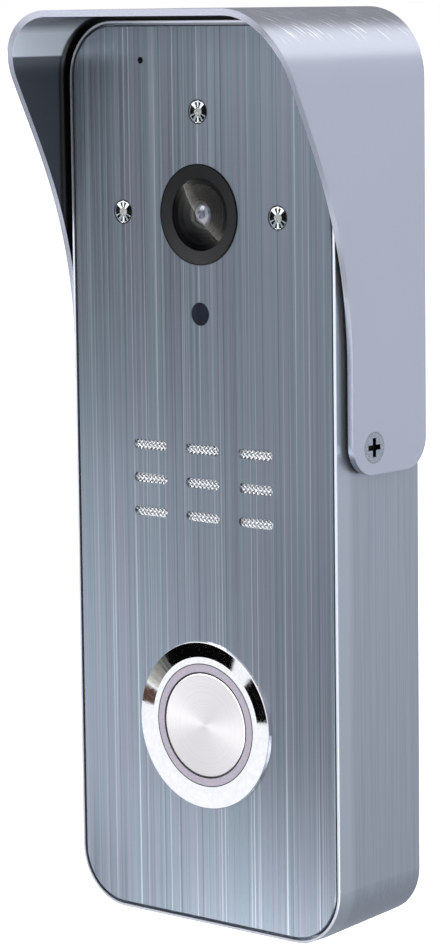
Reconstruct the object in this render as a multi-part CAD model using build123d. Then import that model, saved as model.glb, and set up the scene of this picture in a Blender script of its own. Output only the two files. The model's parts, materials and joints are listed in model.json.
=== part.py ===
from build123d import *
import math
import os

# Video doorbell for outdoor wall mounting, with a rain hood over a slim cast housing.
# Frame: +X to the right as seen from the front, +Y into the wall, +Z up.
# The origin is the centre of the wall bracket's back face, on the wall plane (y = 0).
# Lengths are millimetres.

# ---- Housing ----
body_width = 50.5
body_height = 133.6
body_depth = 20.0          # from the wall to the face of the front plate
corner_radius = 8.5
rim_width = 0.4            # thin rim of the casting that frames the plate
rim_round = 0.12
band_depth = 2.8           # straight band behind the rim, before the sides start to taper
side_draft = 3.0           # degrees, casting draft of the sides behind the band
front_wall = 1.6
wall_at_back = 1.6         # the thinnest part of the side walls, at the open back
ledge_width = 1.5          # shelf that the back gasket lies on
ledge_thickness = 1.0
thread_gap = 0.02          # a screw in its own thread, as plain cylinders
slip_gap = 0.05            # parts that are pushed or glued together
board_gap = 0.4            # boards and covers inside walls

# ---- Front plate and its adhesive film ----
plate_thickness = 1.2
plate_gap = 0.35           # shadow line between the plate and the rim
plate_edge_break = 0.15
film_thickness = 0.2

# ---- Rain hood ----
hood_sheet = 1.0
hood_gap = 0.65            # air between the hood and the housing
hood_overhang = 14.0       # how far the roof reaches out past the plate
hood_arm_setback = 1.8     # the arms' front edge lies this far behind the plate's face
hood_arm_length = 64.6     # from the housing's top down to the arms' lower end
hood_arm_round = 4.5
hood_sweep_drop = 49.1     # from the housing's top to where the edge starts to sweep forward
hood_sweep_low = 26.0      # length of the lower and upper tangents of the sweep
hood_sweep_high = 13.0
hood_lip_lean = 9.0        # degrees, lean of the front edge where it meets the roof
hood_wall_gap = 1.3        # the hood's back edge stands off the wall
hood_seal_width = 2.0      # foam strip between the housing's top and the hood's roof
hood_seal_setback = 0.6    # behind the plate's face

# ---- Screws ----
m2_shank, m2_head, m2_head_height = 1.0, 1.9, 1.1
m25_shank, m25_head, m25_head_height = 1.25, 2.25, 1.2
hood_screw_depth = 6.6     # behind the plate's face
hood_screw_drop = 60.7     # from the housing's top
hood_screw_length = 6.0
hood_boss_radius = 3.2
hood_boss_length = 1.95    # inside the housing's side wall
boss_radius = 2.0
board_screw_length = 4.5

# ---- Back cover, gasket, bracket ----
pocket_depth = 5.0         # recess behind the cover that takes the wall bracket
cover_thickness = 1.5
gasket_thickness = 0.7
cover_screw_inset_x = 3.6   # from the inside of the side walls
cover_screw_inset_z = 3.8
cover_boss_radius = 2.4
bracket_thickness = 1.5
bracket_side_gap = 3.75
bracket_end_gap = 4.3
wall_screw_spacing = 60.0  # hole spacing of a standard flush wall box
wall_screw_hole = 2.1
cable_window_width = 35.0
cable_window_height = 15.0
cable_window_rise = 17.3   # centre of the window, from the housing's bottom
hook_width = 10.0
flange_width = 14.0
lock_screw_depth = 2.9     # from the wall
lock_counterbore = 0.65

# ---- Cable inlet ----
cable_radius = 2.5
grommet_x = 14.0
grommet_rise = 16.8        # from the housing's bottom
grommet_neck = 4.0
grommet_flange = 5.0
grommet_flange_thickness = 0.8

# ---- Camera ----
lens_drop = 28.0           # from the housing's top
lens_bezel_radius = 7.3
lens_bezel_width = 2.05
window_edge = 0.45
window_dome = 28.0         # spherical radius of the window's outer face
window_ledge = 0.85        # width of the ledge that the window sits on
window_seat_depth = 0.85   # from the plate's face
window_gasket_thickness = 0.25
bezel_lip = 0.15           # how far the bezel's outer edge stands proud
barrel_radius = 3.5
barrel_front = 0.83        # front end of the lens barrel, behind the plate's face
barrel_length = 6.3
front_lens_radius = 1.7
front_lens_dome = 2.6
rear_lens_radius = 2.35
holder_width = 12.0
holder_height = 2.8
sensor_width, sensor_thickness = 7.0, 0.9
camera_board_width = 22.0
camera_board_front = 8.6   # behind the plate's face
camera_board_thickness = 1.0
camera_screw_offset = 8.8

# ---- Lamps, light sensor, microphone on the front board ----
lamp_circle = 14.85
lamp_radius = 1.75
lamp_lens_thickness = 0.38
lamp_lens_radius = 1.6
lamp_cup_neck = 0.9
lamp_cup_length = 2.8
led_radius, led_flange = 0.8, 1.3
light_sensor_drop = 14.45
light_sensor_radius = 1.65
mic_x = -11.0
mic_drop = 5.8             # from the housing's top
mic_hole = 0.5
mic_width, mic_height, mic_thickness = 3.4, 2.6, 1.0
front_board_front = 4.6    # behind the plate's face
front_board_thickness = 1.0
front_board_margin = 1.95  # beyond the lamps' centres
front_board_foot = 3.35    # below the light sensor
front_board_shoulder_rise = 15.7  # above the lens
front_board_tongue_half_width = 14.0
front_board_screw_x = 13.0
front_board_screw_rise = 1.65  # above the light sensor

# ---- Speaker ----
speaker_drop = 67.35       # from the housing's top
speaker_radius = 13.5
speaker_depth = 4.8
speaker_gasket_thickness = 0.8
speaker_gasket_width = 1.6
speaker_magnet_radius = 7.0
slot_length, slot_width = 6.5, 1.45
slot_pitch_x, slot_pitch_z = 10.2, 5.0
slot_columns, slot_rows = 3, 3
mesh_margin = 2.0          # mesh beyond the outermost slots
mesh_thickness = 0.2
slot_web = 0.4             # metal left in front of the mesh, which lies in a pocket of the plate
mesh_pane_margin = 0.9     # opening of the casting beyond the outermost slots
clamp_thickness = 0.8
clamp_width = 6.0
clamp_screw_gap = 2.9       # from the speaker's rim

# ---- Main board and terminals ----
main_board_front = 11.0    # behind the plate's face
main_board_thickness = 1.0
main_board_side_gap = 1.95
main_board_foot = 18.45    # below the speaker's centre
main_board_rise = 15.7     # above the lens
main_screw_inset_x, main_screw_inset_z = 1.8, 3.5
processor_width, processor_thickness = 12.0, 1.1
terminal_board_half_width = 15.0
terminal_board_rise = 4.8  # from the housing's bottom
terminal_board_height = 8.8
terminal_board_front = 5.4
terminal_board_thickness = 1.0
terminal_screw_x = 12.5
terminal_ways, terminal_pitch = 4, 4.0
terminal_block_height, terminal_block_depth = 7.0, 5.6
wire_radius = 0.45

# ---- Call button ----
button_rise = 30.2         # from the housing's bottom
barrel_outer = 10.9        # threaded barrel of the button
flange_overlap = 1.6       # flange beyond the barrel
flange_proud = 0.4         # outer edge of the flange in front of the plate
flange_land_proud = 0.15   # inner land, light ring and cap in front of the plate
flange_land_width = 1.0    # flat land round the light ring
panel_hole_gap = 0.15
button_barrel_length = 11.8
barrel_wall = 1.7
light_ring_width = 1.3
cap_gap = 0.10             # running gap around the cap
cap_thickness = 1.4
light_ring_length = 2.15
button_travel = 0.95
ring_board_front = 2.6     # behind the plate's face
ring_board_thickness = 0.8
ring_led_height = 0.6
plunger_radius = 3.0
plunger_gap = 0.08         # running gap of the plunger in its guide
collar_radius = 5.6
collar_thickness = 0.95
guide_length = 1.6
chamber_radius = 6.0
tail_radius = 1.4
contact_bar_length, contact_bar_width, contact_bar_thickness = 9.0, 2.4, 0.3
contact_radius, contact_height, contact_x = 0.8, 0.5, 3.6
switch_base_thickness = 1.5
switch_depth = 10.3        # front of the switch base, behind the plate's face
spring_radius, spring_wire, spring_turns = 5.2, 0.25, 4
nut_wall = 2.1
nut_thickness = 2.0
button_gasket_thickness = 0.8
pin_length = 1.5

# ---- Derived places, as y values (the front is the negative side) ----
face_y = -body_depth
plate_back_y = face_y + plate_thickness
wall_front_y = plate_back_y + film_thickness
wall_back_y = wall_front_y + front_wall
band_back_y = face_y + band_depth
draft_inset = (body_depth - band_depth) * math.tan(math.radians(side_draft))
inner_width = body_width - 2 * (draft_inset + wall_at_back)
inner_height = body_height - 2 * (draft_inset + wall_at_back)
inner_radius = corner_radius - draft_inset - wall_at_back
cover_back_y = -pocket_depth
cover_front_y = cover_back_y - cover_thickness
ledge_y = cover_front_y - gasket_thickness
hood_inner_half = body_width / 2 + hood_gap
hood_outer_half = hood_inner_half + hood_sheet
hood_top = body_height / 2 + hood_gap + hood_sheet
hood_screw_y = face_y + hood_screw_depth
plate_width = body_width - 2 * (rim_width + plate_gap)
plate_height = body_height - 2 * (rim_width + plate_gap)
plate_radius = corner_radius - rim_width - plate_gap
land_y = face_y - flange_land_proud
lens_z = body_height / 2 - lens_drop
mic_z = body_height / 2 - mic_drop
speaker_z = body_height / 2 - speaker_drop
button_z = button_rise - body_height / 2
grommet_z = grommet_rise - body_height / 2
cable_window_z = cable_window_rise - body_height / 2
hood_arm_bottom = body_height / 2 - hood_arm_length
hood_sweep_start = body_height / 2 - hood_sweep_drop
hood_screw_height = body_height / 2 - hood_screw_drop
hood_boss_inside = inner_width / 2 - hood_boss_length
window_radius = lens_bezel_radius - lens_bezel_width
window_seat = window_radius - window_ledge
flange_radius = barrel_outer + flange_overlap
light_ring_outer = barrel_outer - barrel_wall
flange_land_radius = light_ring_outer + flange_land_width
cap_radius = light_ring_outer - light_ring_width - cap_gap
nut_flats = 2 * (barrel_outer + nut_wall)
clamp_screw_x = speaker_radius + clamp_screw_gap
cover_screw_x = inner_width / 2 - cover_screw_inset_x
cover_screw_z = inner_height / 2 - cover_screw_inset_z
front_board_y = face_y + front_board_front
camera_board_y = face_y + camera_board_front
main_board_y = face_y + main_board_front
terminal_board_y = face_y + terminal_board_front
lamp_places = [(-lamp_circle, lens_z), (lamp_circle, lens_z), (0, lens_z + lamp_circle)]
light_sensor_z = lens_z - light_sensor_drop
front_board_half_width = lamp_circle + front_board_margin
front_board_bottom = light_sensor_z - front_board_foot
front_board_shoulder = lens_z + front_board_shoulder_rise
front_board_screw_z = light_sensor_z + front_board_screw_rise
main_board_half_width = inner_width / 2 - main_board_side_gap
main_board_bottom = speaker_z - main_board_foot
main_board_top = lens_z + main_board_rise
main_screw_x = main_board_half_width - main_screw_inset_x
main_screw_z = (main_board_bottom + main_screw_inset_z, main_board_top - main_screw_inset_z)
terminal_board_bottom = terminal_board_rise - body_height / 2
terminal_screw_z = terminal_board_bottom + terminal_board_height / 2
slot_places = [
    ((column - (slot_columns - 1) / 2) * slot_pitch_x,
     speaker_z + ((slot_rows - 1) / 2 - row) * slot_pitch_z)
    for row in range(slot_rows) for column in range(slot_columns)
]
slot_field_width = (slot_columns - 1) * slot_pitch_x + slot_length
slot_field_height = (slot_rows - 1) * slot_pitch_z + slot_width
mesh_width = slot_field_width + 2 * mesh_margin
mesh_height = slot_field_height + 2 * mesh_margin
pane_width = slot_field_width + 2 * mesh_pane_margin
pane_height = slot_field_height + 2 * mesh_pane_margin
panel_hole = barrel_outer + panel_hole_gap
chamber_front_y = face_y + ring_board_front + ring_board_thickness + guide_length
base_front_y = face_y + switch_depth
spring_front_y = chamber_front_y + slip_gap + collar_thickness


# ---- Shape helpers ----
def rod(x, z, y0, y1, radius):
    """Cylinder along Y."""
    return Pos(x, (y0 + y1) / 2, z) * Rot(90, 0, 0) * Cylinder(radius, y1 - y0)


def tube(x, z, y0, y1, outer, inner):
    return rod(x, z, y0, y1, outer) - rod(x, z, y0, y1, inner)


def slab(width, height, y0, y1, x=0, z=0, radius=0):
    """Plate across Y, centred on (x, z), with rounded corners where a radius is given."""
    outline = RectangleRounded(width, height, radius) if radius else Rectangle(width, height)
    return extrude(Plane.XZ.offset(-y1) * Pos(x, z) * outline, amount=y1 - y0)


def span(x0, x1, y0, y1, z0, z1):
    """Box between two corners."""
    return Pos((x0 + x1) / 2, (y0 + y1) / 2, (z0 + z1) / 2) * Box(x1 - x0, y1 - y0, z1 - z0)


def turned(x, z, points):
    """Solid of revolution about an axis along Y; points are (radius, y)."""
    return Pos(x, 0, z) * revolve(make_face(Polyline(*points, close=True)), Axis.Y)


def domed_disc(x, z, radius, back_y, edge_y, dome_radius):
    """Lens with a flat back and a spherical front; edge_y is where the dome starts."""
    sag = dome_radius - math.sqrt(dome_radius ** 2 - radius ** 2)
    half = radius / 2
    half_sag = dome_radius - math.sqrt(dome_radius ** 2 - half ** 2)
    apex_y = edge_y - sag
    sketch = make_face([
        Line((0, apex_y), (0, back_y)),
        Line((0, back_y), (radius, back_y)),
        Line((radius, back_y), (radius, edge_y)),
        ThreePointArc((radius, edge_y), (half, apex_y + half_sag), (0, apex_y)),
    ])
    return Pos(x, 0, z) * revolve(sketch, Axis.Y)


def cross_recess(size, depth):
    """Phillips recess at the origin, cut down along -Z from the head's face."""
    arm = size * 0.28
    bars = Box(size, arm, depth) + Box(arm, size, depth)
    return Pos(0, 0, -depth / 2) * bars


def pan_screw(head_radius, head_height, shank_radius, length):
    """Pan-head screw along Z: the head's underside is at z = 0, the shank runs down."""
    head = Pos(0, 0, head_height / 2) * Cylinder(head_radius, head_height)
    head = fillet(head.edges().group_by(Axis.Z)[-1], head_height * 0.45)
    shank = Pos(0, 0, -length / 2) * Cylinder(shank_radius - thread_gap, length)
    recess = Pos(0, 0, head_height) * cross_recess(head_radius * 1.15, head_height * 0.6)
    return head + shank - recess


def sunk_screw(head_radius, head_height, shank_radius, length):
    """Countersunk screw along Z: the head's face is at z = 0, the shank runs down."""
    sink = head_radius - shank_radius
    points = [(0, 0), (head_radius, 0), (head_radius, -(head_height - sink)),
              (shank_radius - thread_gap, -head_height), (shank_radius - thread_gap, -length),
              (0, -length)]
    body = revolve(make_face(Plane.XZ * Polyline(*points, close=True)), Axis.Z)
    return body - cross_recess(head_radius * 1.25, head_height * 0.55)


def screw_at_back(screw, x, y, z):
    """Turns a screw so that its head faces the wall."""
    return Pos(x, y, z) * Rot(-90, 0, 0) * screw


# ---- Housing and front ----
def front_holes(y0, y1, speaker_hole):
    """Everything that passes through the plate, the film and the casting's front wall."""
    holes = [rod(0, lens_z, y0, y1, lens_bezel_radius + slip_gap),
             rod(0, light_sensor_z, y0, y1, light_sensor_radius + slip_gap),
             rod(mic_x, mic_z, y0, y1, mic_hole),
             rod(0, button_z, y0, y1, panel_hole)]
    holes += [rod(x, z, y0, y1, lamp_radius + slip_gap) for x, z in lamp_places]
    return holes + speaker_hole


def housing_shell():
    band = slab(body_width, body_height, face_y, band_back_y, radius=corner_radius)
    band = fillet(band.edges().group_by(Axis.Y)[0], rim_round)
    front_outline = Plane.XZ.offset(-band_back_y) * RectangleRounded(
        body_width, body_height, corner_radius)
    back_outline = Plane.XZ * RectangleRounded(
        body_width - 2 * draft_inset, body_height - 2 * draft_inset, corner_radius - draft_inset)
    shell = band + loft([front_outline, back_outline], ruled=True)
    shell -= slab(plate_width + 2 * plate_gap, plate_height + 2 * plate_gap, face_y - 1,
                  wall_front_y, radius=plate_radius + plate_gap)
    shell -= slab(inner_width, inner_height, wall_back_y, 1, radius=inner_radius)
    ledge = slab(inner_width, inner_height, ledge_y - ledge_thickness, ledge_y,
                 radius=inner_radius)
    ledge -= slab(inner_width - 2 * ledge_width, inner_height - 2 * ledge_width,
                  ledge_y - ledge_thickness, ledge_y, radius=inner_radius - ledge_width)
    shell += ledge
    for x in (-cover_screw_x, cover_screw_x):
        for z in (-cover_screw_z, cover_screw_z):
            shell += rod(x, z, wall_back_y, ledge_y, cover_boss_radius)
            shell -= rod(x, z, ledge_y - board_screw_length, ledge_y + 1, m2_shank)
    for x, y, z in board_screw_seats():
        shell += rod(x, z, wall_back_y, y, boss_radius)
    for x, y, z in board_screw_seats():
        shell -= rod(x, z, max(y - board_screw_length, wall_back_y), y + 1, m2_shank)
    for side in (-1, 1):
        boss = Pos(side * (hood_inner_half + hood_boss_inside) / 2, hood_screw_y,
                   hood_screw_height) * Rot(0, 90, 0) * Cylinder(
                       hood_boss_radius, hood_inner_half - hood_boss_inside)
        hole = Pos(side * (hood_outer_half - hood_screw_length / 2), hood_screw_y,
                   hood_screw_height) * Rot(0, 90, 0) * Cylinder(m25_shank, hood_screw_length)
        sink = Pos(side * hood_outer_half, hood_screw_y, hood_screw_height) * Rot(
            0, side * 90, 0) * sunk_head_space()
        shell = shell + boss - hole - sink
    shell -= front_holes(wall_front_y - 1, wall_back_y + 1, [
        slab(pane_width, pane_height, wall_front_y - 1, wall_back_y + 1, z=speaker_z, radius=2)])
    return shell + hook_rib() - lock_screw_hole()


def board_screw_seats():
    """(x, y of the seat, z) of every M2 screw that holds a board or the speaker clamp."""
    seats = [(x, main_board_y, z) for x in (-main_screw_x, main_screw_x) for z in main_screw_z]
    seats += [(s * camera_screw_offset, camera_board_y, lens_z - s * camera_screw_offset)
              for s in (-1, 1)]
    seats += [(x, front_board_y, front_board_screw_z)
              for x in (-front_board_screw_x, front_board_screw_x)]
    seats += [(x, speaker_back_y(), speaker_z) for x in (-clamp_screw_x, clamp_screw_x)]
    seats += [(x, terminal_board_y, terminal_screw_z)
              for x in (-terminal_screw_x, terminal_screw_x)]
    return seats


def board_screw_grips():
    """What each of those screws clamps, in the same order."""
    return ([main_board_thickness] * 4 + [camera_board_thickness] * 2
            + [front_board_thickness] * 2 + [clamp_thickness] * 2
            + [terminal_board_thickness] * 2)


def speaker_back_y():
    return wall_back_y + speaker_gasket_thickness + speaker_depth


def sunk_head_space():
    """Countersink for a hood screw, its mouth at z = 0 and its depth along -Z."""
    sink = m25_head - m25_shank
    points = [(0, 0.5), (m25_head, 0.5), (m25_head, -(m25_head_height - sink)),
              (m25_shank, -m25_head_height), (0, -m25_head_height)]
    return revolve(make_face(Plane.XZ * Polyline(*points, close=True)), Axis.Z)


def hook_rib():
    """Rib inside the top of the back recess that hangs on the bracket's hook."""
    top = inner_height / 2
    return span(-hook_width, hook_width, -bracket_thickness - 0.8, -bracket_thickness + 0.7,
                top - 3.2, top + wall_at_back / 2)


def lock_screw_seat_z():
    inset = (body_depth - band_depth - lock_screw_depth) * math.tan(math.radians(side_draft))
    return -body_height / 2 + inset + lock_counterbore


def lock_screw_hole():
    seat = lock_screw_seat_z()
    counterbore = Pos(0, -lock_screw_depth, seat - 1) * Cylinder(m25_head + 0.15, 2)
    through = Pos(0, -lock_screw_depth, seat + 1) * Cylinder(m25_shank + 0.15, 4)
    return counterbore + through


def front_plate():
    plate = slab(plate_width, plate_height, face_y, plate_back_y, radius=plate_radius)
    plate = chamfer(plate.edges().group_by(Axis.Y)[0], plate_edge_break)
    slots = [extrude(Plane.XZ.offset(-plate_back_y - 1) * Pos(x, z) * SlotOverall(
        slot_length, slot_width), amount=plate_thickness + 2) for x, z in slot_places]
    pocket = slab(mesh_width + 2 * slip_gap, mesh_height + 2 * slip_gap, face_y + slot_web,
                  plate_back_y + 1, z=speaker_z)
    return plate - pocket - front_holes(face_y - 1, plate_back_y + 1, slots)


def plate_film():
    film = slab(plate_width, plate_height, plate_back_y, wall_front_y, radius=plate_radius)
    mesh_hole = slab(mesh_width + 2 * slip_gap, mesh_height + 2 * slip_gap, plate_back_y - 1,
                     wall_front_y + 1, z=speaker_z)
    return film - front_holes(plate_back_y - 1, wall_front_y + 1, [mesh_hole])


def hood_side_outline():
    """Side view of the hood in the YZ plane: arms, swept front edge, roof and back edge."""
    arm_y = face_y + hood_arm_setback
    lip_y = face_y - hood_overhang
    lean = math.radians(hood_lip_lean)
    back_y = -hood_wall_gap
    r = hood_arm_round
    corner = r * math.sin(math.radians(45))
    edges = [
        Line((arm_y, hood_arm_bottom + r), (arm_y, hood_sweep_start)),
        Bezier((arm_y, hood_sweep_start), (arm_y, hood_sweep_start + hood_sweep_low),
               (lip_y + hood_sweep_high * math.sin(lean),
                hood_top - hood_sweep_high * math.cos(lean)), (lip_y, hood_top)),
        Line((lip_y, hood_top), (back_y, hood_top)),
        Line((back_y, hood_top), (back_y, hood_arm_bottom + r)),
        ThreePointArc((back_y, hood_arm_bottom + r),
                      (back_y - r + corner, hood_arm_bottom + r - corner),
                      (back_y - r, hood_arm_bottom)),
        Line((back_y - r, hood_arm_bottom), (arm_y + r, hood_arm_bottom)),
        ThreePointArc((arm_y + r, hood_arm_bottom),
                      (arm_y + r - corner, hood_arm_bottom + r - corner),
                      (arm_y, hood_arm_bottom + r)),
    ]
    return make_face(edges)


def rain_hood():
    lip_y = face_y - hood_overhang
    depth = lip_y - 1
    outer_r = corner_radius + hood_gap + hood_sheet
    inner_r = corner_radius + hood_gap
    tall = 2 * hood_top
    outer = slab(2 * hood_outer_half, tall, depth, 0, radius=outer_r)
    inner = slab(2 * hood_inner_half, tall - 2 * hood_sheet, depth - 1, 1, radius=inner_r)
    side = extrude(Plane.YZ.offset(-hood_outer_half - 1) * hood_side_outline(),
                   amount=2 * hood_outer_half + 2)
    hood = (outer - inner) & side
    for x in (-1, 1):
        hole = Pos(x * hood_outer_half, hood_screw_y, hood_screw_height) * Rot(
            0, x * 90, 0) * sunk_head_space()
        hood -= hole
    return hood


def hood_seal():
    """Lies on the flat of the housing's top, on the band in front of the casting's draft."""
    half = body_width / 2 - corner_radius
    return span(-half, half, face_y + hood_seal_setback, face_y + hood_seal_setback + hood_seal_width,
                body_height / 2, body_height / 2 + hood_gap)


def hood_screws():
    screw = sunk_screw(m25_head - slip_gap, m25_head_height, m25_shank, hood_screw_length - 0.3)
    return [Pos(side * hood_outer_half, hood_screw_y, hood_screw_height) * Rot(
        0, side * 90, 0) * screw for side in (-1, 1)]


# ---- Back and wall side ----
def back_cover():
    cover = slab(inner_width - board_gap, inner_height - board_gap, cover_front_y, cover_back_y,
                 radius=inner_radius - board_gap / 2)
    for x in (-cover_screw_x, cover_screw_x):
        for z in (-cover_screw_z, cover_screw_z):
            cover -= rod(x, z, cover_front_y - 1, cover_back_y + 1, m2_shank + 0.2)
    return cover - rod(grommet_x, grommet_z, cover_front_y - 1, cover_back_y + 1,
                       grommet_neck + slip_gap)


def back_gasket():
    """Follows the ledge, with an ear round each cover screw."""
    ring = slab(inner_width - board_gap, inner_height - board_gap, ledge_y, cover_front_y,
                radius=inner_radius - board_gap / 2)
    ring -= slab(inner_width - 2 * ledge_width, inner_height - 2 * ledge_width, ledge_y,
                 cover_front_y, radius=inner_radius - ledge_width)
    for x in (-cover_screw_x, cover_screw_x):
        for z in (-cover_screw_z, cover_screw_z):
            ring += rod(x, z, ledge_y, cover_front_y, cover_boss_radius)
            ring -= rod(x, z, ledge_y - 1, cover_front_y + 1, m2_shank + 0.2)
    return ring


def back_cover_screws():
    grip = cover_thickness + gasket_thickness
    screw = pan_screw(m2_head, m2_head_height, m2_shank, grip + board_screw_length - 0.3)
    return [screw_at_back(screw, x, cover_back_y, z) for x in (-cover_screw_x, cover_screw_x)
            for z in (-cover_screw_z, cover_screw_z)]


def wall_bracket():
    half_w = inner_width / 2 - bracket_side_gap
    half_h = inner_height / 2 - bracket_end_gap
    t = bracket_thickness
    plate = slab(2 * half_w, 2 * half_h, -t, 0, radius=3)
    plate -= slab(cable_window_width, cable_window_height, -t - 1, 1,
                  z=cable_window_z, radius=3)
    for z in (-wall_screw_spacing / 2, wall_screw_spacing / 2):
        plate -= rod(0, z, -t - 1, 1, wall_screw_hole)
    hook_half = hook_width / 2
    lip_y = -t - 0.8 - slip_gap
    hook = span(-hook_half, hook_half, lip_y - t, -t, half_h - t, half_h)
    hook += span(-hook_half, hook_half, lip_y - t, lip_y, half_h, half_h + 3.0)
    flange = span(-flange_width / 2, flange_width / 2, 0.2 - pocket_depth, -t, -half_h,
                  t - half_h)
    tapped = Pos(0, -lock_screw_depth, t / 2 - half_h) * Cylinder(m25_shank, 2 * t)
    return plate + hook + flange - tapped


def bracket_lock_screw():
    seat = lock_screw_seat_z()
    reach = (bracket_thickness - inner_height / 2 + bracket_end_gap) - seat + 0.8
    screw = pan_screw(m25_head - slip_gap, m25_head_height - 0.1, m25_shank, reach)
    return Pos(0, -lock_screw_depth, seat) * Rot(180, 0, 0) * screw


def cable_grommet():
    front_y = cover_front_y - grommet_flange_thickness
    back_y = cover_back_y + grommet_flange_thickness
    return turned(grommet_x, grommet_z, [
        (cable_radius, front_y), (grommet_flange, front_y), (grommet_flange, cover_front_y),
        (grommet_neck, cover_front_y), (grommet_neck, cover_back_y),
        (grommet_flange, cover_back_y), (grommet_flange, back_y), (cable_radius, back_y)])


# ---- Camera ----
def lens_bezel():
    seat_y = face_y + window_seat_depth
    inner_edge_y = seat_y - window_gasket_thickness - window_edge
    return turned(0, lens_z, [
        (lens_bezel_radius, face_y - bezel_lip), (window_radius + slip_gap, inner_edge_y - 0.05),
        (window_radius + slip_gap, seat_y), (window_seat, seat_y), (window_seat, wall_back_y),
        (lens_bezel_radius, wall_back_y)])


def window_gasket():
    seat_y = face_y + window_seat_depth
    return tube(0, lens_z, seat_y - window_gasket_thickness, seat_y, window_radius, window_seat)


def lens_window():
    back_y = face_y + window_seat_depth - window_gasket_thickness
    return domed_disc(0, lens_z, window_radius, back_y, back_y - window_edge, window_dome)


def lens_barrel():
    front_y = face_y + barrel_front
    neck_y = front_y + 1.4
    back_y = front_y + barrel_length
    return turned(0, lens_z, [
        (front_lens_radius + slip_gap, front_y), (barrel_radius, front_y + 0.5),
        (barrel_radius, back_y), (rear_lens_radius + slip_gap, back_y),
        (rear_lens_radius + slip_gap, neck_y), (front_lens_radius + slip_gap, neck_y)])


def front_lens():
    front_y = face_y + barrel_front
    return domed_disc(0, lens_z, front_lens_radius, front_y + 1.3, front_y + 0.45,
                      front_lens_dome)


def rear_lens():
    back_y = face_y + barrel_front + barrel_length - 0.4
    return domed_disc(0, lens_z, rear_lens_radius, back_y, back_y - 1.0, 4.0)


def lens_holder():
    front_y = camera_board_y - holder_height
    block = slab(holder_width, holder_width, front_y, camera_board_y, z=lens_z, radius=1)
    block -= rod(0, lens_z, front_y - 1, camera_board_y + 1, barrel_radius + slip_gap)
    room = sensor_width + 1
    return block - slab(room, room, camera_board_y - sensor_thickness - 0.3, camera_board_y + 1,
                        z=lens_z)


def image_sensor():
    return slab(sensor_width, sensor_width, camera_board_y - sensor_thickness, camera_board_y,
                z=lens_z)


def camera_board():
    board = slab(camera_board_width, camera_board_width, camera_board_y,
                 camera_board_y + camera_board_thickness, z=lens_z, radius=1)
    for side in (-1, 1):
        board -= rod(side * camera_screw_offset, lens_z - side * camera_screw_offset,
                     camera_board_y - 1, camera_board_y + camera_board_thickness + 1,
                     m2_shank + 0.15)
    return board


def board_connector():
    return slab(9, 3.2, camera_board_y + camera_board_thickness, main_board_y, z=lens_z + 4)


# ---- Lamps, light sensor, microphone ----
def led_reflectors():
    back_y = face_y + lamp_cup_length
    lens_back_y = face_y + lamp_lens_thickness
    points = [(lamp_radius, face_y), (lamp_lens_radius + 0.02, face_y),
              (lamp_lens_radius + 0.02, lens_back_y), (lamp_cup_neck, back_y - 1.0),
              (lamp_cup_neck, back_y), (lamp_radius, back_y)]
    return [turned(x, z, points) for x, z in lamp_places]


def led_lenses():
    return [rod(x, z, face_y, face_y + lamp_lens_thickness, lamp_lens_radius)
            for x, z in lamp_places]


def ir_leds():
    tip_y = face_y + lamp_cup_length - 0.9
    base_y = front_board_y - 1.2
    leds = []
    for x, z in lamp_places:
        body = rod(x, z, tip_y + led_radius, front_board_y, led_radius)
        body += Pos(x, tip_y + led_radius, z) * Sphere(led_radius)
        leds.append(body + rod(x, z, base_y, front_board_y, led_flange))
    return leds


def front_board():
    y1 = front_board_y + front_board_thickness
    height = front_board_shoulder - front_board_bottom
    board = slab(2 * front_board_half_width, height, front_board_y, y1,
                 z=front_board_bottom + height / 2, radius=1)
    top = mic_z + mic_height / 2 + 0.3
    board += span(-front_board_tongue_half_width, front_board_tongue_half_width, front_board_y,
                  y1, front_board_shoulder - 2, top)
    board -= rod(0, lens_z, front_board_y - 1, y1 + 1, barrel_radius + 0.6)
    for side in (-1, 1):
        board -= rod(side * camera_screw_offset, lens_z - side * camera_screw_offset,
                     front_board_y - 1, y1 + 1, boss_radius + 0.3)
        board -= rod(side * front_board_screw_x, front_board_screw_z, front_board_y - 1, y1 + 1,
                     m2_shank + 0.15)
    return board


def front_board_header():
    """Four pins that join the front board to the main board, in one moulded strip."""
    y0 = front_board_y + front_board_thickness
    return slab(8.4, 2.2, y0, main_board_y, x=-6, z=front_board_bottom + 2.5)


def light_sensor():
    return slab(2.0, 1.6, front_board_y - 0.8, front_board_y, z=light_sensor_z)


def sensor_window():
    return rod(0, light_sensor_z, face_y, wall_back_y, light_sensor_radius)


def mic_capsule():
    return slab(mic_width, mic_height, front_board_y - mic_thickness, front_board_y, x=mic_x,
                z=mic_z)


def mic_gasket():
    pad = slab(mic_width, mic_height, wall_back_y, front_board_y - mic_thickness, x=mic_x,
               z=mic_z)
    return pad - rod(mic_x, mic_z, wall_back_y - 1, front_board_y, mic_hole)


# ---- Speaker ----
def speaker_mesh():
    return slab(mesh_width, mesh_height, face_y + slot_web, face_y + slot_web + mesh_thickness,
                z=speaker_z)


def speaker_gasket():
    return tube(0, speaker_z, wall_back_y, wall_back_y + speaker_gasket_thickness,
                speaker_radius, speaker_radius - speaker_gasket_width)


def speaker_frame():
    y0 = wall_back_y + speaker_gasket_thickness
    y1 = speaker_back_y()
    floor_y = y1 - 2.0
    inside = speaker_radius - 1.0
    basket = turned(0, speaker_z, [
        (speaker_radius, y0), (speaker_radius, y0 + 1.2), (speaker_magnet_radius + 2.5, floor_y + 0.8),
        (speaker_magnet_radius, floor_y + 0.8), (speaker_magnet_radius, floor_y),
        (speaker_magnet_radius + 2.0, floor_y), (inside, y0 + 1.0), (inside, y0)])
    return basket


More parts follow.
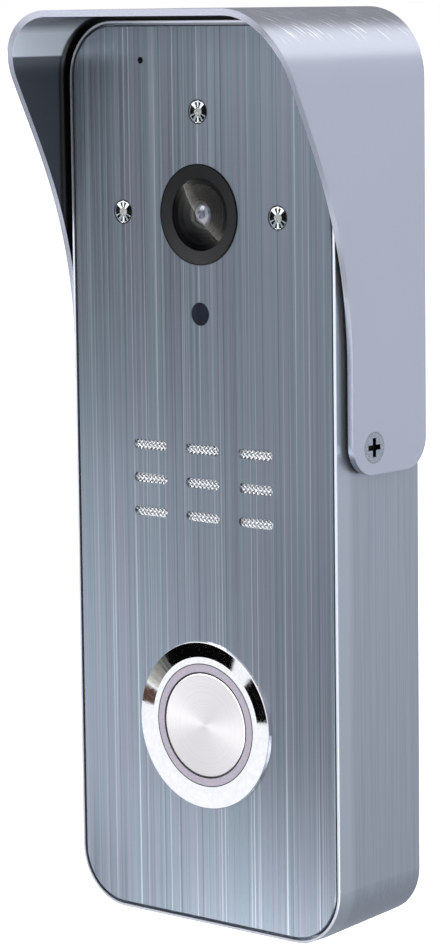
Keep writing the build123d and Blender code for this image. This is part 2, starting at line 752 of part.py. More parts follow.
def speaker_cone():
    """Cone with its dust cap, glued inside the frame's mouth."""
    y0 = wall_back_y + speaker_gasket_thickness
    rim = speaker_radius - 1.0 - slip_gap
    return turned(0, speaker_z, [
        (rim, y0 + 0.3), (rim, y0 + 0.6), (5.0, y0 + 2.0), (4.0, y0 + 1.6), (0, y0 + 1.1),
        (0, y0 + 0.8), (4.0, y0 + 1.3), (5.0, y0 + 1.6)])


def speaker_magnet():
    y1 = speaker_back_y()
    return rod(0, speaker_z, y1 - 2.0, y1, speaker_magnet_radius - slip_gap)


def speaker_clamp():
    y0 = speaker_back_y()
    bar = slab(2 * clamp_screw_x + clamp_width - 1, clamp_width, y0, y0 + clamp_thickness,
               z=speaker_z, radius=1)
    for x in (-clamp_screw_x, clamp_screw_x):
        bar -= rod(x, speaker_z, y0 - 1, y0 + clamp_thickness + 1, m2_shank + 0.15)
    return bar


# ---- Main board and terminals ----
def main_board():
    y1 = main_board_y + main_board_thickness
    height = main_board_top - main_board_bottom
    board = slab(2 * main_board_half_width, height, main_board_y, y1,
                 z=main_board_bottom + height / 2, radius=1.5)
    for x in (-main_screw_x, main_screw_x):
        for z in main_screw_z:
            board -= rod(x, z, main_board_y - 1, y1 + 1, m2_shank + 0.15)
    return board


def processor_chip():
    y0 = main_board_y + main_board_thickness
    return slab(processor_width, processor_width, y0, y0 + processor_thickness, x=4,
                z=lens_z - 18.8)


def board_parts():
    """Memory, power and video chips, coils and connectors on the main board."""
    y0 = main_board_y + main_board_thickness
    beside_lens = [(-9, -15, 8, 5), (-9, -24, 5, 5), (12, -3, 4, 6), (-12, -1, 6, 6)]
    beside_speaker = [(6, 2.5, 5, 4), (-7, 0.5, 7, 4), (14, 6.5, 3, 8), (-15, -5.5, 3, 3),
                      (11, -11.5, 5, 3)]
    places = [(x, lens_z + z, w, h) for x, z, w, h in beside_lens]
    places += [(x, speaker_z + z, w, h) for x, z, w, h in beside_speaker]
    return [slab(w, h, y0, y0 + 0.9, x=x, z=z) for x, z, w, h in places]


def board_screws():
    screws = []
    for (x, y, z), grip in zip(board_screw_seats(), board_screw_grips()):
        deep = min(board_screw_length, y - wall_back_y) - 0.2
        screws.append(screw_at_back(pan_screw(m2_head, m2_head_height, m2_shank, grip + deep),
                                    x, y + grip, z))
    return screws


def terminal_board():
    board = slab(2 * terminal_board_half_width, terminal_board_height, terminal_board_y,
                 terminal_board_y + terminal_board_thickness, z=terminal_screw_z, radius=1)
    for x in (-terminal_screw_x, terminal_screw_x):
        board -= rod(x, terminal_screw_z, terminal_board_y - 1,
                     terminal_board_y + terminal_board_thickness + 1, m2_shank + 0.15)
    return board


def terminal_way_places():
    return [(i - (terminal_ways - 1) / 2) * terminal_pitch for i in range(terminal_ways)]


def terminal_block():
    y0 = terminal_board_y + terminal_board_thickness
    y1 = y0 + terminal_block_depth
    block = slab(terminal_ways * terminal_pitch + 0.8, terminal_block_height, y0, y1,
                 z=terminal_screw_z)
    for x in terminal_way_places():
        block -= rod(x, terminal_screw_z - 1, y1 - 2.6, y1 + 1, 1.5)
        block -= span(x - 1.2, x + 1.2, y1 - 4.4, y1 - 2.8, terminal_screw_z + 0.8,
                      terminal_screw_z + terminal_block_height)
    return block


def terminal_screws():
    y1 = terminal_board_y + terminal_board_thickness + terminal_block_depth
    screws = []
    for x in terminal_way_places():
        head = rod(x, terminal_screw_z - 1, y1 - 2.6, y1 - 0.8, 1.4)
        screws.append(head - span(x - 1.5, x + 1.5, y1 - 1.5, y1, terminal_screw_z - 1.25,
                                  terminal_screw_z - 0.75))
    return screws


def inner_wires():
    """Two leads from the button's pins up to the main board's lower connector."""
    wire_y = base_front_y + switch_base_thickness + pin_length - 0.6
    start_z = button_z + 0.6
    plug_z = main_board_bottom + 2.0
    plug_y = main_board_y + main_board_thickness
    wires = []
    for side in (-1, 1):
        x0, x1 = side * contact_x, side * 1.5
        bend_z = start_z + 4
        path = FilletPolyline((x0, wire_y, start_z), (x0, wire_y, bend_z),
                              (x1, wire_y, bend_z + 6), (x1, wire_y, plug_z), radius=3)
        section = Plane(origin=path @ 0, z_dir=path % 0) * Circle(wire_radius)
        wires.append(sweep(section, path))
    plug = span(-3, 3, plug_y, wire_y + wire_radius + 0.2, plug_z, plug_z + 1.4)
    return wires + [plug]


# ---- Call button ----
def button_bezel():
    back_y = face_y + button_barrel_length
    return turned(0, button_z, [
        (flange_radius, face_y), (flange_radius, face_y - flange_proud + 0.1),
        (flange_radius - 0.1, face_y - flange_proud), (flange_land_radius, land_y),
        (light_ring_outer, land_y), (light_ring_outer, back_y), (barrel_outer, back_y),
        (barrel_outer, face_y)])


def button_gasket():
    return tube(0, button_z, wall_back_y, wall_back_y + button_gasket_thickness,
                barrel_outer + 2.6, barrel_outer + thread_gap)


def button_nut():
    y0 = wall_back_y + button_gasket_thickness
    hexagon = RegularPolygon(nut_flats / 2, 6, major_radius=False)
    nut = extrude(Plane.XZ.offset(-y0 - nut_thickness) * Pos(0, button_z) * hexagon,
                  amount=nut_thickness)
    return nut - rod(0, button_z, y0 - 1, y0 + nut_thickness + 1, barrel_outer + thread_gap)


def light_ring():
    return tube(0, button_z, land_y, land_y + light_ring_length, light_ring_outer - thread_gap,
                cap_radius + cap_gap)


def button_cap():
    cap = rod(0, button_z, land_y, land_y + cap_thickness, cap_radius)
    return fillet(cap.edges().group_by(Axis.Y)[0], 0.25)


def plunger():
    collar_y = chamber_front_y + slip_gap
    tail_end_y = base_front_y - contact_height - button_travel - slip_gap
    body = rod(0, button_z, land_y + cap_thickness, collar_y, plunger_radius)
    body += rod(0, button_z, collar_y, collar_y + collar_thickness, collar_radius)
    tail_y = tail_end_y - contact_bar_thickness
    return body + rod(0, button_z, collar_y, tail_y, tail_radius)


def moving_contact():
    """Contact bar across the plunger's tail; it bridges the two fixed contacts when pressed."""
    back_y = base_front_y - contact_height - button_travel - slip_gap
    return slab(contact_bar_length, contact_bar_width, back_y - contact_bar_thickness, back_y,
                z=button_z, radius=0.8)


def return_spring():
    length = base_front_y - spring_front_y - 2 * spring_wire - 2 * slip_gap
    path = Helix(length / spring_turns, length, spring_radius)
    section = Plane(origin=path @ 0, z_dir=path % 0) * Circle(spring_wire)
    coil = sweep(section, path, is_frenet=True)
    y0 = spring_front_y + spring_wire + slip_gap
    return Pos(0, y0, button_z) * Rot(-90, 0, 0) * coil


def switch_body():
    y0 = face_y + ring_board_front + ring_board_thickness
    body = rod(0, button_z, y0, base_front_y, light_ring_outer - slip_gap)
    body -= rod(0, button_z, y0 - 1, base_front_y, plunger_radius + plunger_gap)
    return body - rod(0, button_z, chamber_front_y, base_front_y + 1, chamber_radius)


def switch_base():
    y1 = base_front_y + switch_base_thickness
    base = rod(0, button_z, base_front_y, y1, light_ring_outer - slip_gap)
    for x in (-contact_x, contact_x):
        base -= rod(x, button_z, base_front_y - 1, y1 + 1, 0.6)
    return base


def fixed_contacts():
    """Two contacts with their solder pins, which pass through the switch base."""
    end_y = base_front_y + switch_base_thickness + pin_length
    return [rod(x, button_z, base_front_y - contact_height, base_front_y, contact_radius)
            + rod(x, button_z, base_front_y - 0.1, end_y, 0.6 - thread_gap)
            for x in (-contact_x, contact_x)]


def ring_board():
    y0 = face_y + ring_board_front
    return tube(0, button_z, y0, y0 + ring_board_thickness, light_ring_outer - slip_gap,
                plunger_radius + 0.6)


def ring_leds():
    y1 = face_y + ring_board_front
    middle = (light_ring_outer + cap_radius) / 2
    led = slab(1.6, 0.8, y1 - ring_led_height + slip_gap, y1, z=middle)
    return [Pos(0, 0, button_z) * Rot(0, turn, 0) * led for turn in (0, 90, 180, 270)]


parts = {
    "housing_shell": housing_shell, "front_plate": front_plate, "plate_film": plate_film,
    "rain_hood": rain_hood, "hood_seal": hood_seal, "hood_screws": hood_screws,
    "back_cover": back_cover,
    "back_gasket": back_gasket, "back_cover_screws": back_cover_screws,
    "wall_bracket": wall_bracket, "bracket_lock_screw": bracket_lock_screw,
    "cable_grommet": cable_grommet, "lens_bezel": lens_bezel, "window_gasket": window_gasket,
    "lens_window": lens_window, "lens_barrel": lens_barrel, "front_lens": front_lens,
    "rear_lens": rear_lens, "lens_holder": lens_holder, "image_sensor": image_sensor,
    "camera_board": camera_board, "board_connector": board_connector,
    "led_reflectors": led_reflectors, "led_lenses": led_lenses, "ir_leds": ir_leds,
    "front_board": front_board, "front_board_header": front_board_header,
    "light_sensor": light_sensor, "sensor_window": sensor_window, "mic_capsule": mic_capsule,
    "mic_gasket": mic_gasket, "speaker_mesh": speaker_mesh, "speaker_gasket": speaker_gasket,
    "speaker_frame": speaker_frame, "speaker_cone": speaker_cone,
    "speaker_magnet": speaker_magnet, "speaker_clamp": speaker_clamp, "main_board": main_board,
    "processor_chip": processor_chip, "board_parts": board_parts, "board_screws": board_screws,
    "terminal_board": terminal_board, "terminal_block": terminal_block,
    "terminal_screws": terminal_screws, "inner_wires": inner_wires,
    "button_bezel": button_bezel, "button_gasket": button_gasket, "button_nut": button_nut,
    "light_ring": light_ring, "button_cap": button_cap, "plunger": plunger,
    "moving_contact": moving_contact, "return_spring": return_spring,
    "switch_body": switch_body, "switch_base": switch_base, "fixed_contacts": fixed_contacts,
    "ring_board": ring_board, "ring_leds": ring_leds,
}

os.makedirs("parts", exist_ok=True)
for name, make in parts.items():
    shape = make()
    if isinstance(shape, (list, tuple)):
        shape = Compound(children=[solid for piece in shape for solid in piece.solids()])
    export_step(shape, f"parts/{name}.step")
    print(f"{name}: {len(shape.solids())} solid(s), {shape.volume:.1f} mm3")
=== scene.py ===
import json
import math
import bmesh
import bpy
from mathutils import Matrix, Vector


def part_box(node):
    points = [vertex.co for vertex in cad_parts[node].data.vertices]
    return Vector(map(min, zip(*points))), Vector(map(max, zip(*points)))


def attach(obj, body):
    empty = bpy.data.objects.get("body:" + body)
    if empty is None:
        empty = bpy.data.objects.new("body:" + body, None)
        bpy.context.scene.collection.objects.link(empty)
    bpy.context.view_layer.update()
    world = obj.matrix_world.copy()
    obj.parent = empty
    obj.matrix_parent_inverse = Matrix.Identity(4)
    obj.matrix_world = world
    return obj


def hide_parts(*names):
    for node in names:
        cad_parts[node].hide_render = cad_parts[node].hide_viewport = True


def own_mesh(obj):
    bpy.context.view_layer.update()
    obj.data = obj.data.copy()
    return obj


# Video doorbell: satin cast housing, brushed face, bent rain hood, lens, lamps, slots, lit call button.
# Everything is in metres in the frame's own axes: +X right, +Y into the wall, +Z up.

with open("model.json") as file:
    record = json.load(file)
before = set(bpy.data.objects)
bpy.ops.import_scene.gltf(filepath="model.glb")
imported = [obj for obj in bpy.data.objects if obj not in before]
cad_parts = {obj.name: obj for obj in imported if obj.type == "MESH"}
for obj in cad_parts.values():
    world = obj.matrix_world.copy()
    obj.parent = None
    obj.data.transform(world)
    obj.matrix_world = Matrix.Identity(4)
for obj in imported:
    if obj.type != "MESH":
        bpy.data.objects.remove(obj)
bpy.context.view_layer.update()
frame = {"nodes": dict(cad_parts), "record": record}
nodes = frame["nodes"]
scene = bpy.context.scene
mm = 0.001
print("frame loaded:", len(nodes), "nodes")


def middleOf(node):
    low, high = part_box(node)
    return (low + high) / 2


# Places read from the frame
plateLow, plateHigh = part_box("front_plate")
faceY = plateLow.y
lensCentre = Vector((0, faceY, middleOf("lens_bezel").z))
buttonCentre = Vector((0, faceY, middleOf("button_bezel").z))
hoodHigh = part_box("rain_hood")[1]
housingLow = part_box("housing_shell")[0]
slotCentre = middleOf("speaker_mesh")


# Small helpers
def toLinear(code):
    # sRGB hex to linear
    channels = [int(code[i:i + 2], 16) / 255 for i in (1, 3, 5)]
    return tuple(c / 12.92 if c <= 0.04045 else ((c + 0.055) / 1.055) ** 2.4 for c in channels) + (1.0,)


def addNode(tree, kind, inputs=None, **settings):
    # settings are the node's own options; an input is either a value or a socket to link
    node = tree.nodes.new(kind)
    for name, value in settings.items():
        setattr(node, name, value)
    for key, value in (inputs or {}).items():
        if isinstance(value, bpy.types.NodeSocket):
            tree.links.new(value, node.inputs[key])
        else:
            node.inputs[key].default_value = value
    return node


def newFinish(name, shaderInputs):
    # a material with one principled shader, and the piece's own coordinates in metres
    material = bpy.data.materials.new(name)
    material.use_nodes = True
    tree = material.node_tree
    tree.nodes.clear()
    shader = addNode(tree, "ShaderNodeBsdfPrincipled", shaderInputs)
    addNode(tree, "ShaderNodeOutputMaterial", {"Surface": shader.outputs[0]})
    place = addNode(tree, "ShaderNodeTexCoord").outputs["Object"]
    return material, tree, shader, place


def grain(tree, place, size, detail=2.0, turn=None):
    # noise whose lumps measure size = (x, y, z) metres, perhaps after a turn of the axes; 0 to 1
    if turn:
        place = addNode(tree, "ShaderNodeMapping", {"Vector": place, "Rotation": turn}).outputs[0]
    scaled = addNode(tree, "ShaderNodeMapping", {"Vector": place, "Scale": [1 / s for s in size]}).outputs[0]
    return addNode(tree, "ShaderNodeTexNoise",
                   {"Vector": scaled, "Scale": 1.0, "Detail": detail}).outputs["Fac"]


def ramp(tree, factor, stops):
    node = addNode(tree, "ShaderNodeValToRGB", {"Fac": factor})
    node.color_ramp.elements[1].position = stops[-1][0]
    node.color_ramp.elements[1].color = toLinear(stops[-1][1])
    node.color_ramp.elements[0].position = stops[0][0]
    node.color_ramp.elements[0].color = toLinear(stops[0][1])
    for position, code in stops[1:-1]:
        node.color_ramp.elements.new(position).color = toLinear(code)
    return node.outputs["Color"]


def spread(tree, factor, low, high, fromLow=0.3, fromHigh=0.7):
    return addNode(tree, "ShaderNodeMapRange", {"Value": factor, "From Min": fromLow, "From Max": fromHigh,
                                                "To Min": low, "To Max": high}).outputs["Result"]


def mathNode(tree, operation, first, second=0.0):
    return addNode(tree, "ShaderNodeMath", {0: first, 1: second}, operation=operation).outputs[0]


def mixed(tree, factor, first, second):
    # colours are inputs 6 and 7 and output 2 of the mix node
    return addNode(tree, "ShaderNodeMix", {"Factor": factor, 6: first, 7: second},
                   data_type="RGBA").outputs[2]


def radiusAbout(tree, place, centre):
    # distance from an axis that runs along Y through centre
    centred = addNode(tree, "ShaderNodeMapping", {"Vector": place, "Location": (0, 0, -centre.z)})
    flat = addNode(tree, "ShaderNodeVectorMath", {0: centred.outputs[0], 1: (1, 0, 1)},
                   operation="MULTIPLY")
    return addNode(tree, "ShaderNodeVectorMath", {0: flat.outputs[0]}, operation="LENGTH").outputs["Value"]


def relief(tree, shader, height, depth):
    bump = addNode(tree, "ShaderNodeBump", {"Height": height, "Distance": depth, "Strength": 1.0})
    tree.links.new(bump.outputs[0], shader.inputs["Normal"])


def link(tree, socket, shader, name):
    tree.links.new(socket, shader.inputs[name])


# Finishes that show
brush = {"fine": 0.11 * mm, "hair": 0.24 * mm, "medium": 0.5 * mm, "broad": 2.6 * mm, "length": 110 * mm,
         "tones": [(0.34, "#767e87"), (0.50, "#8a929b"), (0.66, "#9fa6ae")],
         "fineShare": 0.34, "mediumShare": 0.50, "broadShare": 0.16, "depth": 0.006 * mm,
         # hairs: strength from and to, as the noise goes from one value to the other
         "dark": "#555b62", "darkHairs": (0.55, 0.0, 0.26, 0.38),
         "bright": "#c9cfd4", "brightHairs": (0.0, 0.75, 0.64, 0.74),
         "cool": "#7f9496", "warm": "#968d9c", "tint": 0.24, "tintSize": (0.9 * mm, 0.9 * mm, 60 * mm)}


def brushedAluminium():
    # Aluminium sheet drawn under an abrasive belt: long upright hairlines, a few cut deep and dark or
    # left bright, and a glow that spreads sideways across the lines.
    material, tree, shader, place = newFinish("brushed_aluminium", {
        "Metallic": 1.0, "Roughness": 0.34, "Anisotropic": 0.75})
    length = brush["length"]
    fine = grain(tree, place, (brush["fine"], brush["fine"], length * 0.5), 2.0)
    hair = grain(tree, place, (brush["hair"], brush["hair"], length * 1.6), 1.0)
    medium = grain(tree, place, (brush["medium"], brush["medium"], length), 3.0)
    broad = grain(tree, place, (brush["broad"], brush["broad"], length * 2.0), 1.0)
    base = mathNode(tree, "ADD", mathNode(tree, "MULTIPLY", fine, brush["fineShare"]),
                    mathNode(tree, "MULTIPLY", broad, brush["broadShare"]))
    base = mathNode(tree, "ADD", base, mathNode(tree, "MULTIPLY", medium, brush["mediumShare"]))
    drift = ramp(tree, grain(tree, place, brush["tintSize"], 2.0),
                 [(0.42, brush["cool"]), (0.58, brush["warm"])])
    tinted = mixed(tree, brush["tint"], ramp(tree, base, brush["tones"]), drift)
    dark = mixed(tree, spread(tree, hair, *brush["darkHairs"]), tinted, toLinear(brush["dark"]))
    bright = mixed(tree, spread(tree, hair, *brush["brightHairs"]), dark, toLinear(brush["bright"]))
    link(tree, bright, shader, "Base Color")
    link(tree, spread(tree, base, 0.28, 0.40, 0.4, 0.6), shader, "Roughness")
    relief(tree, shader, base, brush["depth"])
    return material


casting = {"colour": "#9ea3ac", "shade": "#9398a2", "edgeBand": "#a8aeb6", "bandWidth": 3.2 * mm,
           "bandFade": 0.7 * mm, "rim": "#dfe2ec", "rimWidth": 0.16 * mm,
           "line": 0.35 * mm, "lineLength": 26 * mm, "grain": 0.12 * mm}


def satinCasting():
    # Die-cast aluminium, linished and clear-coated satin: cool grey with faint upright scratches, a
    # lighter band beside the front edge, and a painted highlight: a bright line along the front rim.
    material, tree, shader, place = newFinish("satin_cast_aluminium", {
        "Metallic": 0.9, "Roughness": 0.34, "Anisotropic": 0.3})
    scratches = grain(tree, place, (casting["line"], casting["line"], casting["lineLength"]), 3.0)
    body = ramp(tree, scratches, [(0.35, casting["shade"]), (0.65, casting["colour"])])
    depth = addNode(tree, "ShaderNodeSeparateXYZ", {"Vector": place}).outputs["Y"]
    band = spread(tree, depth, 1.0, 0.0, faceY + casting["bandWidth"] - casting["bandFade"],
                  faceY + casting["bandWidth"] + casting["bandFade"])
    # painted highlight: a bright line painted along the front rim
    rim = mathNode(tree, "LESS_THAN", depth, faceY + casting["rimWidth"])
    link(tree, mixed(tree, rim, mixed(tree, band, body, toLinear(casting["edgeBand"])),
                     toLinear(casting["rim"])), shader, "Base Color")
    link(tree, spread(tree, scratches, 0.28, 0.38), shader, "Roughness")
    relief(tree, shader, grain(tree, place, (casting["grain"],) * 3), 0.003 * mm)
    return material


hoodFinish = {"outside": "#b4b7c2", "scuffed": "#afb2be", "smear": (14 * mm, 14 * mm, 30 * mm),
              "grain": 0.9 * mm, "depth": 0.0006 * mm,
              # sheet thickness, and the radius inside its bends
              "sheet": 1.0 * mm, "bend": 9.15 * mm, "edge": 0.03 * mm,
              # scratches: turn in degrees, strength as the noise rises, and where up the bend they start
              "scratch": "#f4f6fa", "scratchSize": (0.18 * mm, 4 * mm, 4 * mm), "scratchTurn": 40,
              "scratchDepth": (0.0, 0.75, 0.62, 0.70), "scratchStart": (0.0, 1.0, 0.55, 0.75),
              # inside face, by height over the start of the bend as a share of the bend: dark lacquer, with a
              # pale band of painted light across the bend
              "inside": [(0.0, "#2c3038"), (0.36, "#343840"), (0.38, "#aeb5bf"), (0.74, "#a4abb5"),
                         (0.88, "#60656e"), (1.0, "#363a42")],
              # corner: painted shade, near black on the inside close to the housing's face
              "corner": "#050506", "shadeDepth": 1.9 * mm, "shadeFade": 0.5 * mm}


def bentAluminium():
    # Anodised aluminium sheet, bent: smooth satin outside, with fine slanting scratches over the top
    # bend; inside it is dark lacquer with a pale band of painted light across the bend, and painted
    # shade, near black, in the corner by the housing.
    material, tree, shader, place = newFinish("anodised_hood_sheet", {"Roughness": 0.26})
    # the inner face is where the distance to the bends' centre lines is under the inner radius
    at = addNode(tree, "ShaderNodeSeparateXYZ", {"Vector": place}).outputs
    outerRadius = hoodFinish["bend"] + hoodFinish["sheet"]
    sideways = mathNode(tree, "SUBTRACT", mathNode(tree, "ABSOLUTE", at["X"]), hoodHigh.x - outerRadius)
    beyondX = mathNode(tree, "MAXIMUM", sideways, 0.0)
    beyondZ = mathNode(tree, "MAXIMUM", mathNode(tree, "SUBTRACT", at["Z"], hoodHigh.z - outerRadius), 0.0)
    corner = addNode(tree, "ShaderNodeCombineXYZ", {"X": beyondX, "Y": beyondZ}).outputs[0]
    away = addNode(tree, "ShaderNodeVectorMath", {0: corner}, operation="LENGTH").outputs["Value"]
    inside = mathNode(tree, "LESS_THAN", away, hoodFinish["bend"] + hoodFinish["edge"])
    outerFace = mathNode(tree, "GREATER_THAN", away, outerRadius - hoodFinish["edge"])
    smears = grain(tree, place, hoodFinish["smear"], 1.0)
    satin = ramp(tree, smears, [(0.0, hoodFinish["scuffed"]), (1.0, hoodFinish["outside"])])
    upward = mathNode(tree, "DIVIDE", beyondZ, hoodFinish["bend"])
    turn = (0, 0, math.radians(hoodFinish["scratchTurn"]))
    scratches = grain(tree, place, hoodFinish["scratchSize"], 1.0, turn)
    scratched = mathNode(tree, "MULTIPLY", spread(tree, scratches, *hoodFinish["scratchDepth"]),
                         spread(tree, upward, *hoodFinish["scratchStart"]))
    scratched = mathNode(tree, "MULTIPLY", scratched, outerFace)
    outer = mixed(tree, scratched, satin, toLinear(hoodFinish["scratch"]))
    # painted light: a pale band across the inner bend, on the dark lacquer
    inner = ramp(tree, upward, hoodFinish["inside"])
    # painted shade: the inner face turns near black by the housing, where shadow falls in the corner
    nearHousing = spread(tree, at["Y"], 0.0, 1.0, faceY - hoodFinish["shadeDepth"],
                         faceY - hoodFinish["shadeDepth"] + hoodFinish["shadeFade"])
    cornerShaded = mixed(tree, nearHousing, inner, toLinear(hoodFinish["corner"]))
    link(tree, mixed(tree, inside, outer, cornerShaded), shader, "Base Color")
    link(tree, spread(tree, inside, 0.9, 0.0, 0.0, 1.0), shader, "Metallic")
    link(tree, spread(tree, smears, 0.22, 0.28, 0.0, 1.0), shader, "Roughness")
    relief(tree, shader, grain(tree, place, (hoodFinish["grain"],) * 3), hoodFinish["depth"])
    return material


def passivatedStainless():
    # Cold-headed stainless screws: satin, with fine tumbling marks.
    material, tree, shader, place = newFinish("passivated_stainless", {"Metallic": 1.0, "Roughness": 0.28})
    marks = grain(tree, place, (0.2 * mm,) * 3, 3.0)
    link(tree, ramp(tree, marks, [(0.35, "#9a9ea6"), (0.65, "#bfc2c8")]), shader, "Base Color")
    link(tree, spread(tree, marks, 0.2, 0.36), shader, "Roughness")
    relief(tree, shader, marks, 0.004 * mm)
    return material


screwHead = {"recess": 0.16 * mm, "recessShade": "#08090b"}


def shadedRecessScrewHead():
    # The hood's screws: satin stainless, with painted shade in the driver recess.
    material, tree, shader, place = newFinish("screw_head_recess_shade", {"Metallic": 1.0, "Roughness": 0.3})
    marks = grain(tree, place, (0.2 * mm,) * 3, 3.0)
    satin = ramp(tree, marks, [(0.35, "#8e929a"), (0.65, "#b4b8bf")])
    at = addNode(tree, "ShaderNodeSeparateXYZ", {"Vector": place}).outputs
    across = mathNode(tree, "ABSOLUTE", at["X"])
    # painted shade: near black where the head dips into the driver recess
    shadedRecess = mathNode(tree, "LESS_THAN", across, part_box("hood_screws")[1].x - screwHead["recess"])
    link(tree, mixed(tree, shadedRecess, satin, toLinear(screwHead["recessShade"])), shader, "Base Color")
    link(tree, spread(tree, marks, 0.22, 0.36), shader, "Roughness")
    relief(tree, shader, marks, 0.004 * mm)
    return material


def brightChrome():
    # Polished nickel-chrome plate: a mirror with a trace of polishing haze.
    material, tree, shader, place = newFinish("bright_chrome", {"Metallic": 1.0, "Roughness": 0.04})
    haze = grain(tree, place, (0.8 * mm,) * 3, 2.0)
    link(tree, ramp(tree, haze, [(0.3, "#f0f1f2"), (0.7, "#fafafa")]), shader, "Base Color")
    link(tree, spread(tree, haze, 0.02, 0.06), shader, "Roughness")
    return material


spun = {"pitch": 0.22 * mm, "dark": "#f0ecec", "light": "#f6f2f2", "depth": 0.0002 * mm}


def spunSteel():
    # Stainless cap faced on a lathe: fine rings round the centre, and a sheen that fans out from it.
    material, tree, shader, place = newFinish("spun_stainless", {
        "Metallic": 1.0, "Roughness": 0.34, "Anisotropic": 0.6})
    radius = radiusAbout(tree, place, buttonCentre)
    rings = addNode(tree, "ShaderNodeTexNoise",
                    {"W": mathNode(tree, "DIVIDE", radius, spun["pitch"]), "Scale": 1.0, "Detail": 1.0},
                    noise_dimensions="1D").outputs["Fac"]
    link(tree, ramp(tree, rings, [(0.3, spun["dark"]), (0.6, spun["light"])]), shader, "Base Color")
    relief(tree, shader, rings, spun["depth"])
    link(tree, addNode(tree, "ShaderNodeTangent", direction_type="RADIAL", axis="Y").outputs[0],
         shader, "Tangent")
    return material


def frostedPolycarbonate():
    # Moulded light guide, frosted so that it scatters: milky mauve grey, soft gloss.
    material, tree, shader, place = newFinish("frosted_polycarbonate", {
        "Roughness": 0.42, "IOR": 1.58, "Subsurface Weight": 0.15, "Subsurface Scale": 0.5 * mm})
    flecks = grain(tree, place, (0.25 * mm,) * 3, 3.0)
    link(tree, ramp(tree, flecks, [(0.3, "#8c8591"), (0.7, "#98919c")]), shader, "Base Color")
    relief(tree, shader, flecks, 0.003 * mm)
    return material


def blackAnodised():
    # Turned aluminium, bead-blasted and anodised black: matte charcoal that catches a soft edge light.
    material, tree, shader, place = newFinish("black_anodised", {
        "Metallic": 0.1, "Roughness": 0.48, "Specular IOR Level": 0.3})
    blast = grain(tree, place, (0.09 * mm,) * 3, 2.0)
    link(tree, ramp(tree, blast, [(0.3, "#0c0d0f"), (0.7, "#141517")]), shader, "Base Color")
    link(tree, spread(tree, blast, 0.40, 0.54), shader, "Roughness")
    relief(tree, shader, blast, 0.003 * mm)
    return material


def coatedWindow():
    # Toughened cover glass with an anti-reflection coat, so it mirrors far less than bare glass.
    material, tree, shader, place = newFinish("coated_cover_glass", {
        "Roughness": 0.015, "IOR": 1.24, "Transmission Weight": 1.0})
    coat = grain(tree, place, (4 * mm,) * 3, 1.0)
    link(tree, ramp(tree, coat, [(0.3, "#b0b2b5"), (0.7, "#babcbe")]), shader, "Base Color")
    return material


lensCoatGlints = {"rings": [(0.0, "#e9e9fb"), (0.12, "#2c2c66"), (0.24, "#9496cf"), (0.34, "#33346f"),
                      (0.50, "#eeeefc"), (0.70, "#f6f6ff"), (0.84, "#8a8fd0"), (0.94, "#3f8f86"),
                      (1.0, "#14182c")], "wobble": 0.17}


def coatedLensGlints():
    # Multi-coated glass element, its reflections painted in: pale violet glint rings that shade to green at
    # the rim.
    material, tree, shader, place = newFinish("multicoated_lens_glints", {
        "Metallic": 0.3, "Roughness": 0.05, "Coat Weight": 1.0, "Coat Roughness": 0.02})
    lensLow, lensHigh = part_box("front_lens")
    radius = radiusAbout(tree, place, middleOf("front_lens"))
    share = mathNode(tree, "DIVIDE", radius, (lensHigh.x - lensLow.x) / 2)
    wobble = spread(tree, grain(tree, place, (0.5 * mm,) * 3, 1.0), -lensCoatGlints["wobble"], lensCoatGlints["wobble"],
                    0.0, 1.0)
    # painted reflection: the coating's glint rings as base colour, by distance from the lens's axis
    link(tree, ramp(tree, mathNode(tree, "ADD", share, wobble), lensCoatGlints["rings"]), shader, "Base Color")
    return material


def clearGlass():
    # Small polished discs and elements: clear, with a faint grey body tint.
    material, tree, shader, place = newFinish("clear_optical_glass", {
        "Roughness": 0.02, "IOR": 1.49, "Transmission Weight": 1.0})
    body = grain(tree, place, (3 * mm,) * 3, 1.0)
    link(tree, ramp(tree, body, [(0.3, "#e9eeee"), (0.7, "#f4f7f7")]), shader, "Base Color")
    return material


def smokedAcrylic():
    # Infrared-pass acrylic: near-black navy with a wet gloss.
    material, tree, shader, place = newFinish("smoked_acrylic", {"Roughness": 0.07, "IOR": 1.49})
    depth = grain(tree, place, (1.2 * mm,) * 3, 1.0)
    link(tree, ramp(tree, depth, [(0.3, "#0b0c16"), (0.7, "#151726")]), shader, "Base Color")
    return material


# Finishes of the inner and rear parts: one pattern each of colour, gloss and fine relief
def plainFinish(name, dark, light, grainSize, depth, roughness, **shaderInputs):
    named = {key.replace("_", " "): value for key, value in shaderInputs.items()}
    material, tree, shader, place = newFinish(name, named)
    size = grainSize if isinstance(grainSize, tuple) else (grainSize,) * 3
    texture = grain(tree, place, size, 3.0)
    link(tree, ramp(tree, texture, [(0.3, dark), (0.7, light)]), shader, "Base Color")
    link(tree, spread(tree, texture, roughness - 0.05, roughness + 0.05), shader, "Roughness")
    relief(tree, shader, texture, depth)
    return material


def mouldedRubber():
    # EPDM: soft black with a faint grey bloom
    return plainFinish("moulded_epdm", "#141414", "#222222", 0.3 * mm, 0.01 * mm, 0.75)


def texturedAbs():
    # injection-moulded ABS with a fine spark-eroded texture
    return plainFinish("textured_abs", "#1c1d1f", "#292a2c", 0.18 * mm, 0.012 * mm, 0.55, IOR=1.53)


def zincPlatedSteel():
    # electro-galvanised sheet: cool grey, blotched on a 2 mm scale
    return plainFinish("zinc_plated_steel", "#878b90", "#b2b6ba", 2.0 * mm, 0.004 * mm, 0.38, Metallic=1.0)


def wovenStainless():
    # drawn stainless wire: bright along each wire, dark in the gaps
    return plainFinish("woven_stainless", "#d6d8da", "#f2f3f4", 0.2 * mm, 0.002 * mm, 0.42, Metallic=1.0)


def solderMask():
    # green lacquer over glass-fibre board, with the weave showing as faint relief
    return plainFinish("solder_mask", "#0c3a24", "#125033", 0.5 * mm, 0.006 * mm, 0.30, IOR=1.5)


